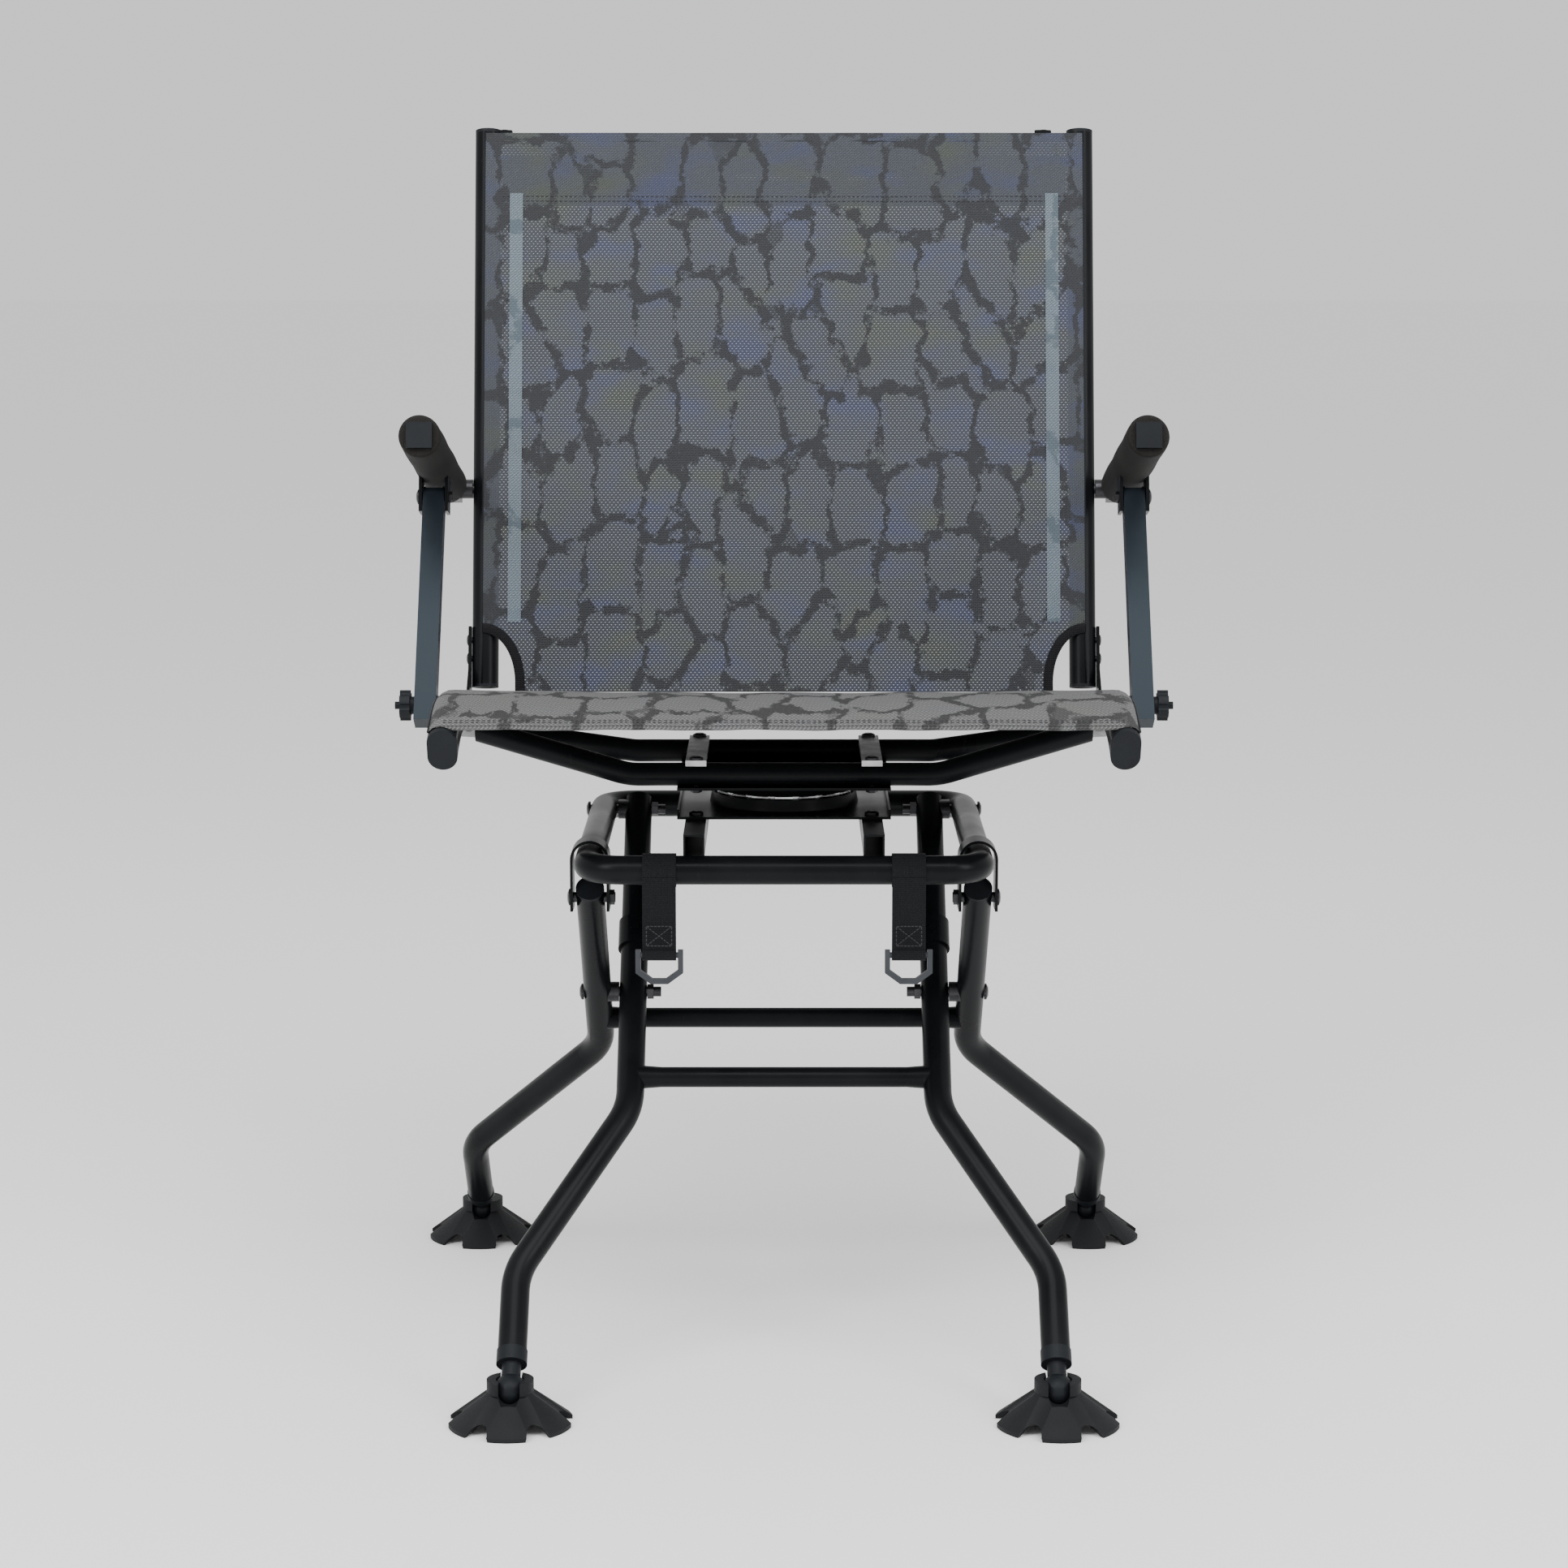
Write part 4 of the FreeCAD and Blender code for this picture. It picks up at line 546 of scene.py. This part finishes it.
def hem_stitches():
    """Two rows along the lower edge of the top hem."""
    count = 118
    row = []
    for step in range(count):
        x = -HEM_HALF + 2 * HEM_HALF * (step + 0.5) / count
        for over_edge in (3 * MM, 7 * MM):
            up = hem_route[-1][0] + over_edge
            row.append((back_place(x, up, back_ahead(x, up) + 0.15 * MM), Vector((1, 0, 0))))
    return stitches("back_hem_stitches", row, BACK_FRONT, STITCH, "back_frame")


back_trim = [sheet_piece("back_top_hem", 60, len(hem_route) - 1, hem_point, BACK_MESH, "back_frame")]
for side_name, side in SIDES:
    back_trim.append(side_strip(side_name, side))
    back_trim.append(corner_tape(side_name, side))
    post_spline(side_name, side)
for side_name, middle in (("left", -236 * MM), ("right", 218 * MM)):
    back_trim.append(hem_fold(side_name, middle))
back_trim.append(hem_stitches())


# ---------- seat fabric ----------

RAIL_FORWARD = Vector((0, -math.cos(SLOPE), math.sin(SLOPE)))
RAIL_UP = Vector((0, math.sin(SLOPE), math.cos(SLOPE)))
OVAL_HALF = 6 * MM  # half the height of the flat-oval rail's straight sides
RAIL_AT_HINGE = HINGE - RAIL_UP * OVAL_HALF
HINGE_DEPTH, NOSE_DEPTH, SEAT_REAR_DEPTH = 130.2 * MM, -141.5 * MM, 150 * MM
SHIFT_Y = HINGE.y - HINGE_DEPTH


def rail_centre(depth):
    """The point of the rail's straight centre line at a depth."""
    return RAIL_AT_HINGE + RAIL_FORWARD * ((RAIL_AT_HINGE.y - depth) / math.cos(SLOPE))


NOSE_START = rail_centre(SHIFT_Y + NOSE_DEPTH)
SEAT_REAR = rail_centre(SHIFT_Y + SEAT_REAR_DEPTH)
STRAIGHT = (NOSE_START - SEAT_REAR).length
NOSE_COVERED = 0.985  # the share of the rails' downward bend that the fabric covers
SEAT_RUN = STRAIGHT + NOSE_RADIUS * NOSE_TURN * NOSE_COVERED

WRAP = math.radians(58)  # how far the fabric goes round the rails' tops
WRAP_RADIUS = TUBE_RADIUS + 0.8 * MM
SEAT_HALF = RAIL_X + WRAP_RADIUS * WRAP
SEAT_SAG = 4 * MM
HEM_ROUND = 2.2 * MM


def seat_axis(distance):
    """A point of the rail's centre line and its upward direction, from the rear of the fabric."""
    if distance <= STRAIGHT:
        return SEAT_REAR + RAIL_FORWARD * distance, RAIL_UP
    turn = (distance - STRAIGHT) / NOSE_RADIUS
    pitch = SLOPE - turn
    up = Vector((0, math.sin(pitch), math.cos(pitch)))
    centre = NOSE_START - RAIL_UP * NOSE_RADIUS
    return centre + up * NOSE_RADIUS, up


def seat_section(across):
    """The section at a distance across from the middle: the sideways place, the height over the rail's
    centre, and a share that is 1 in the middle and 0 on the rails."""
    if abs(across) <= RAIL_X:
        share = across / RAIL_X
        return across, OVAL_HALF + WRAP_RADIUS, 1 - share ** 2
    turn = (abs(across) - RAIL_X) / WRAP_RADIUS
    x = math.copysign(RAIL_X + WRAP_RADIUS * math.sin(turn), across)
    return x, OVAL_HALF + WRAP_RADIUS * math.cos(turn), 0.0


def seat_place(across, distance, raise_by=0.0):
    centre, up = seat_axis(distance)
    x, height, inside = seat_section(across)
    share = distance / SEAT_RUN
    sag = SEAT_SAG * inside * math.sin(math.pi * min(1, share)) ** 1.2
    ripple = RIPPLE * math.sin(across * 70 + distance * 25) * min(1, inside * 3)
    return Vector((x, 0, 0)) + centre + up * (height - sag + ripple + raise_by)


def seat_point(i, j):
    across = (2 * i - 1) * SEAT_HALF
    distance = SEAT_RUN * j
    return seat_place(across, distance), (across, distance)


def front_hem_point(i, j):
    """The rolled and slightly crumpled front edge."""
    across = (2 * i - 1) * (RAIL_X + 4 * MM)
    angle = math.pi * j * 1.25
    distance = SEAT_RUN - 1.5 * MM + HEM_ROUND * math.sin(angle)
    lower = -HEM_ROUND + HEM_ROUND * math.cos(angle)
    crumple = 0.5 * MM * math.sin(across * 140 + 1.3) * math.sin(across * 43)
    return seat_place(across, distance, lower + crumple * j), (across, distance + lower)


def under_hem_point(i, j):
    """The hem's return under the seat, up to its seam."""
    across = (2 * i - 1) * (RAIL_X - TUBE_RADIUS - 1 * MM)
    distance = SEAT_RUN - 3 * MM - 24 * MM * j
    return seat_place(across, distance, -4.6 * MM + 3.2 * MM * j), (across, distance)


def seat_stitches():
    """Two rows along the front hem."""
    count = 124
    row = []
    for step in range(count):
        across = -RAIL_X + 2 * RAIL_X * (step + 0.5) / count
        for inset in (4 * MM, 6.5 * MM):
            row.append((seat_place(across, SEAT_RUN - inset, 0.2 * MM), Vector((1, 0, 0))))
    return stitches("seat_hem_stitches", row, Vector((0, -0.4, 0.9)), STITCH, "seat_frame")


def seat_spline(side_name, side):
    """The plastic cord along the fabric's edge, in the rail's slot."""
    steps = 30
    x = side * (RAIL_X + WRAP_RADIUS * math.sin(WRAP))
    line = []
    for step in range(steps + 1):
        centre, up = seat_axis(SEAT_RUN * step / steps)
        line.append(Vector((x, 0, 0)) + centre + up * (OVAL_HALF + WRAP_RADIUS * math.cos(WRAP)))
    return rod("seat_spline_" + side_name, line, 1.0 * MM, LOOKS["plug_plastic"], "seat_frame")


seat_fabric = sheet_piece("seat_fabric", 110, 70, seat_point, SEAT_MESH_PAINTED_LIGHT, "seat_frame")
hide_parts("seat_sling")
seat_trim = [sheet_piece("seat_front_hem", 110, 8, front_hem_point, SEAT_MESH_PAINTED_LIGHT, "seat_frame")]
seat_trim.append(sheet_piece("seat_under_hem", 60, 6, under_hem_point, SEAT_MESH_PAINTED_LIGHT, "seat_frame"))
seat_trim.append(seat_stitches())
for side_name, side in SIDES:
    seat_trim.append(seat_spline(side_name, side))


# ---------- foam grips ----------

GRIP_START, GRIP_LENGTH = 24 * MM, 235 * MM
GRIP_RADIUS, GRIP_BORE, GRIP_ROUND = 16.5 * MM, 9.9 * MM, 3 * MM
GRIP_DENT = 0.25 * MM
GRIP_TURNS = 48


def grip_outline():
    """The grip's outline as (radius, along), with rounded ends."""
    flat = GRIP_RADIUS - GRIP_ROUND
    outline = [(GRIP_BORE, 0.0), (flat, 0.0)]
    for step in range(1, 6):
        angle = math.pi / 2 * step / 5
        outline.append((flat + GRIP_ROUND * math.sin(angle), GRIP_ROUND - GRIP_ROUND * math.cos(angle)))
    for step in range(1, 24):
        outline.append((GRIP_RADIUS, GRIP_ROUND + (GRIP_LENGTH - 2 * GRIP_ROUND) * step / 24))
    for step in range(0, 6):
        angle = math.pi / 2 * step / 5
        along = GRIP_LENGTH - GRIP_ROUND + GRIP_ROUND * math.sin(angle)
        outline.append((flat + GRIP_ROUND * math.cos(angle), along))
    outline.append((GRIP_BORE, GRIP_LENGTH))
    return outline


def foam_grip(side_name):
    outline = grip_outline()
    pivot = Vector(JOINTS["arm_fold_" + side_name]["pos_m"])

    def grip_point(i, j):
        radius, along = outline[round(j * (len(outline) - 1))]
        angle = 2 * math.pi * i
        dent = GRIP_DENT * math.sin(along * 70 + 2 * angle) if radius > 12 * MM else 0.0
        out = Vector((math.cos(angle), 0, 0)) + ARM_UP * math.sin(angle)
        return pivot + ARM_FORWARD * (GRIP_START + along) + out * (radius + dent), (angle * radius, along)

    return sheet_piece("foam_grip_" + side_name, GRIP_TURNS, len(outline) - 1, grip_point, LOOKS["grip_foam"],
                       "arm_" + side_name)


for side_name, side in SIDES:
    grip = foam_grip(side_name)
    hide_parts("arm_grip_" + side_name)


# ---------- strap stitching ----------

def strap_stitches(side_name):
    """A stitched box with a cross in it, low on the strap's front."""
    low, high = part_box("carry_strap_" + side_name)
    middle = (low.x + high.x) / 2
    front = low.y + 0.05 * MM
    half = 9.5 * MM
    bottom, top = low.z + 12 * MM, low.z + 27 * MM
    corners = ((-half, bottom), (half, bottom), (half, top), (-half, top))
    box_and_cross = ((0, 1), (1, 2), (2, 3), (3, 0), (0, 2), (1, 3))
    row = []
    for first, last in box_and_cross:
        start, end = corners[first], corners[last]
        run = Vector((end[0] - start[0], 0, end[1] - start[1]))
        count = max(2, int(run.length / STITCH))
        for step in range(count):
            spot = Vector((middle + start[0], front, start[1])) + run * ((step + 0.5) / count)
            row.append((spot, run))
    stitches("strap_stitches_" + side_name, row, Vector((0, -1, 0)), STRAP_STITCH, "base_frame")


for side_name, side in SIDES:
    strap_stitches(side_name)


# ---------- floor, lights and camera ----------

FLOOR_HALF = 30
WORLD_STRENGTH = 0.95
CAMERA_AHEAD, CAMERA_HEIGHT, CAMERA_DOWN = 2.9, 0.899, math.radians(9)
AIM = (0, 0, 0.5)

corners = [(-FLOOR_HALF, -FLOOR_HALF, 0), (FLOOR_HALF, -FLOOR_HALF, 0),
           (FLOOR_HALF, FLOOR_HALF, 0), (-FLOOR_HALF, FLOOR_HALF, 0)]
floor_mesh = bpy.data.meshes.new("floor")
floor_mesh.from_pydata(corners, [], [(0, 1, 2, 3)])
floor_mesh.materials.append(plain_floor("look_floor"))
floor = bpy.data.objects.new("floor", floor_mesh)
bpy.context.scene.collection.objects.link(floor)

world = bpy.data.worlds.new("studio")
bpy.context.scene.world = world
world.use_nodes = True
backdrop = world.node_tree.nodes["Background"]
backdrop.inputs["Color"].default_value = (1, 1, 1, 1)
backdrop.inputs["Strength"].default_value = WORLD_STRENGTH


def softbox(name, place, width, height, power):
    """A rectangular light that faces the chair."""
    light = bpy.data.lights.new(name, "AREA")
    light.shape = "RECTANGLE"
    light.size, light.size_y, light.energy = width, height, power
    made = bpy.data.objects.new(name, light)
    made.location = place
    made.rotation_euler = (Vector(AIM) - Vector(place)).to_track_quat("-Z", "Y").to_euler()
    bpy.context.scene.collection.objects.link(made)


softbox("key_left", (-2.2, -2.4, 2.4), 1.4, 1.8, 60)
softbox("key_right", (2.4, -2.0, 2.0), 1.2, 1.8, 45)
softbox("top", (0, -1.7, 3.1), 2.6, 1.8, 80)

camera_data = bpy.data.cameras.new("camera")
camera_data.sensor_width = 36
camera_data.lens = 85
camera = bpy.data.objects.new("camera", camera_data)
camera.location = (0, SHIFT_Y - CAMERA_AHEAD, CAMERA_HEIGHT)
camera.rotation_euler = (math.pi / 2 - CAMERA_DOWN, 0, 0)
bpy.context.scene.collection.objects.link(camera)
bpy.context.scene.camera = camera
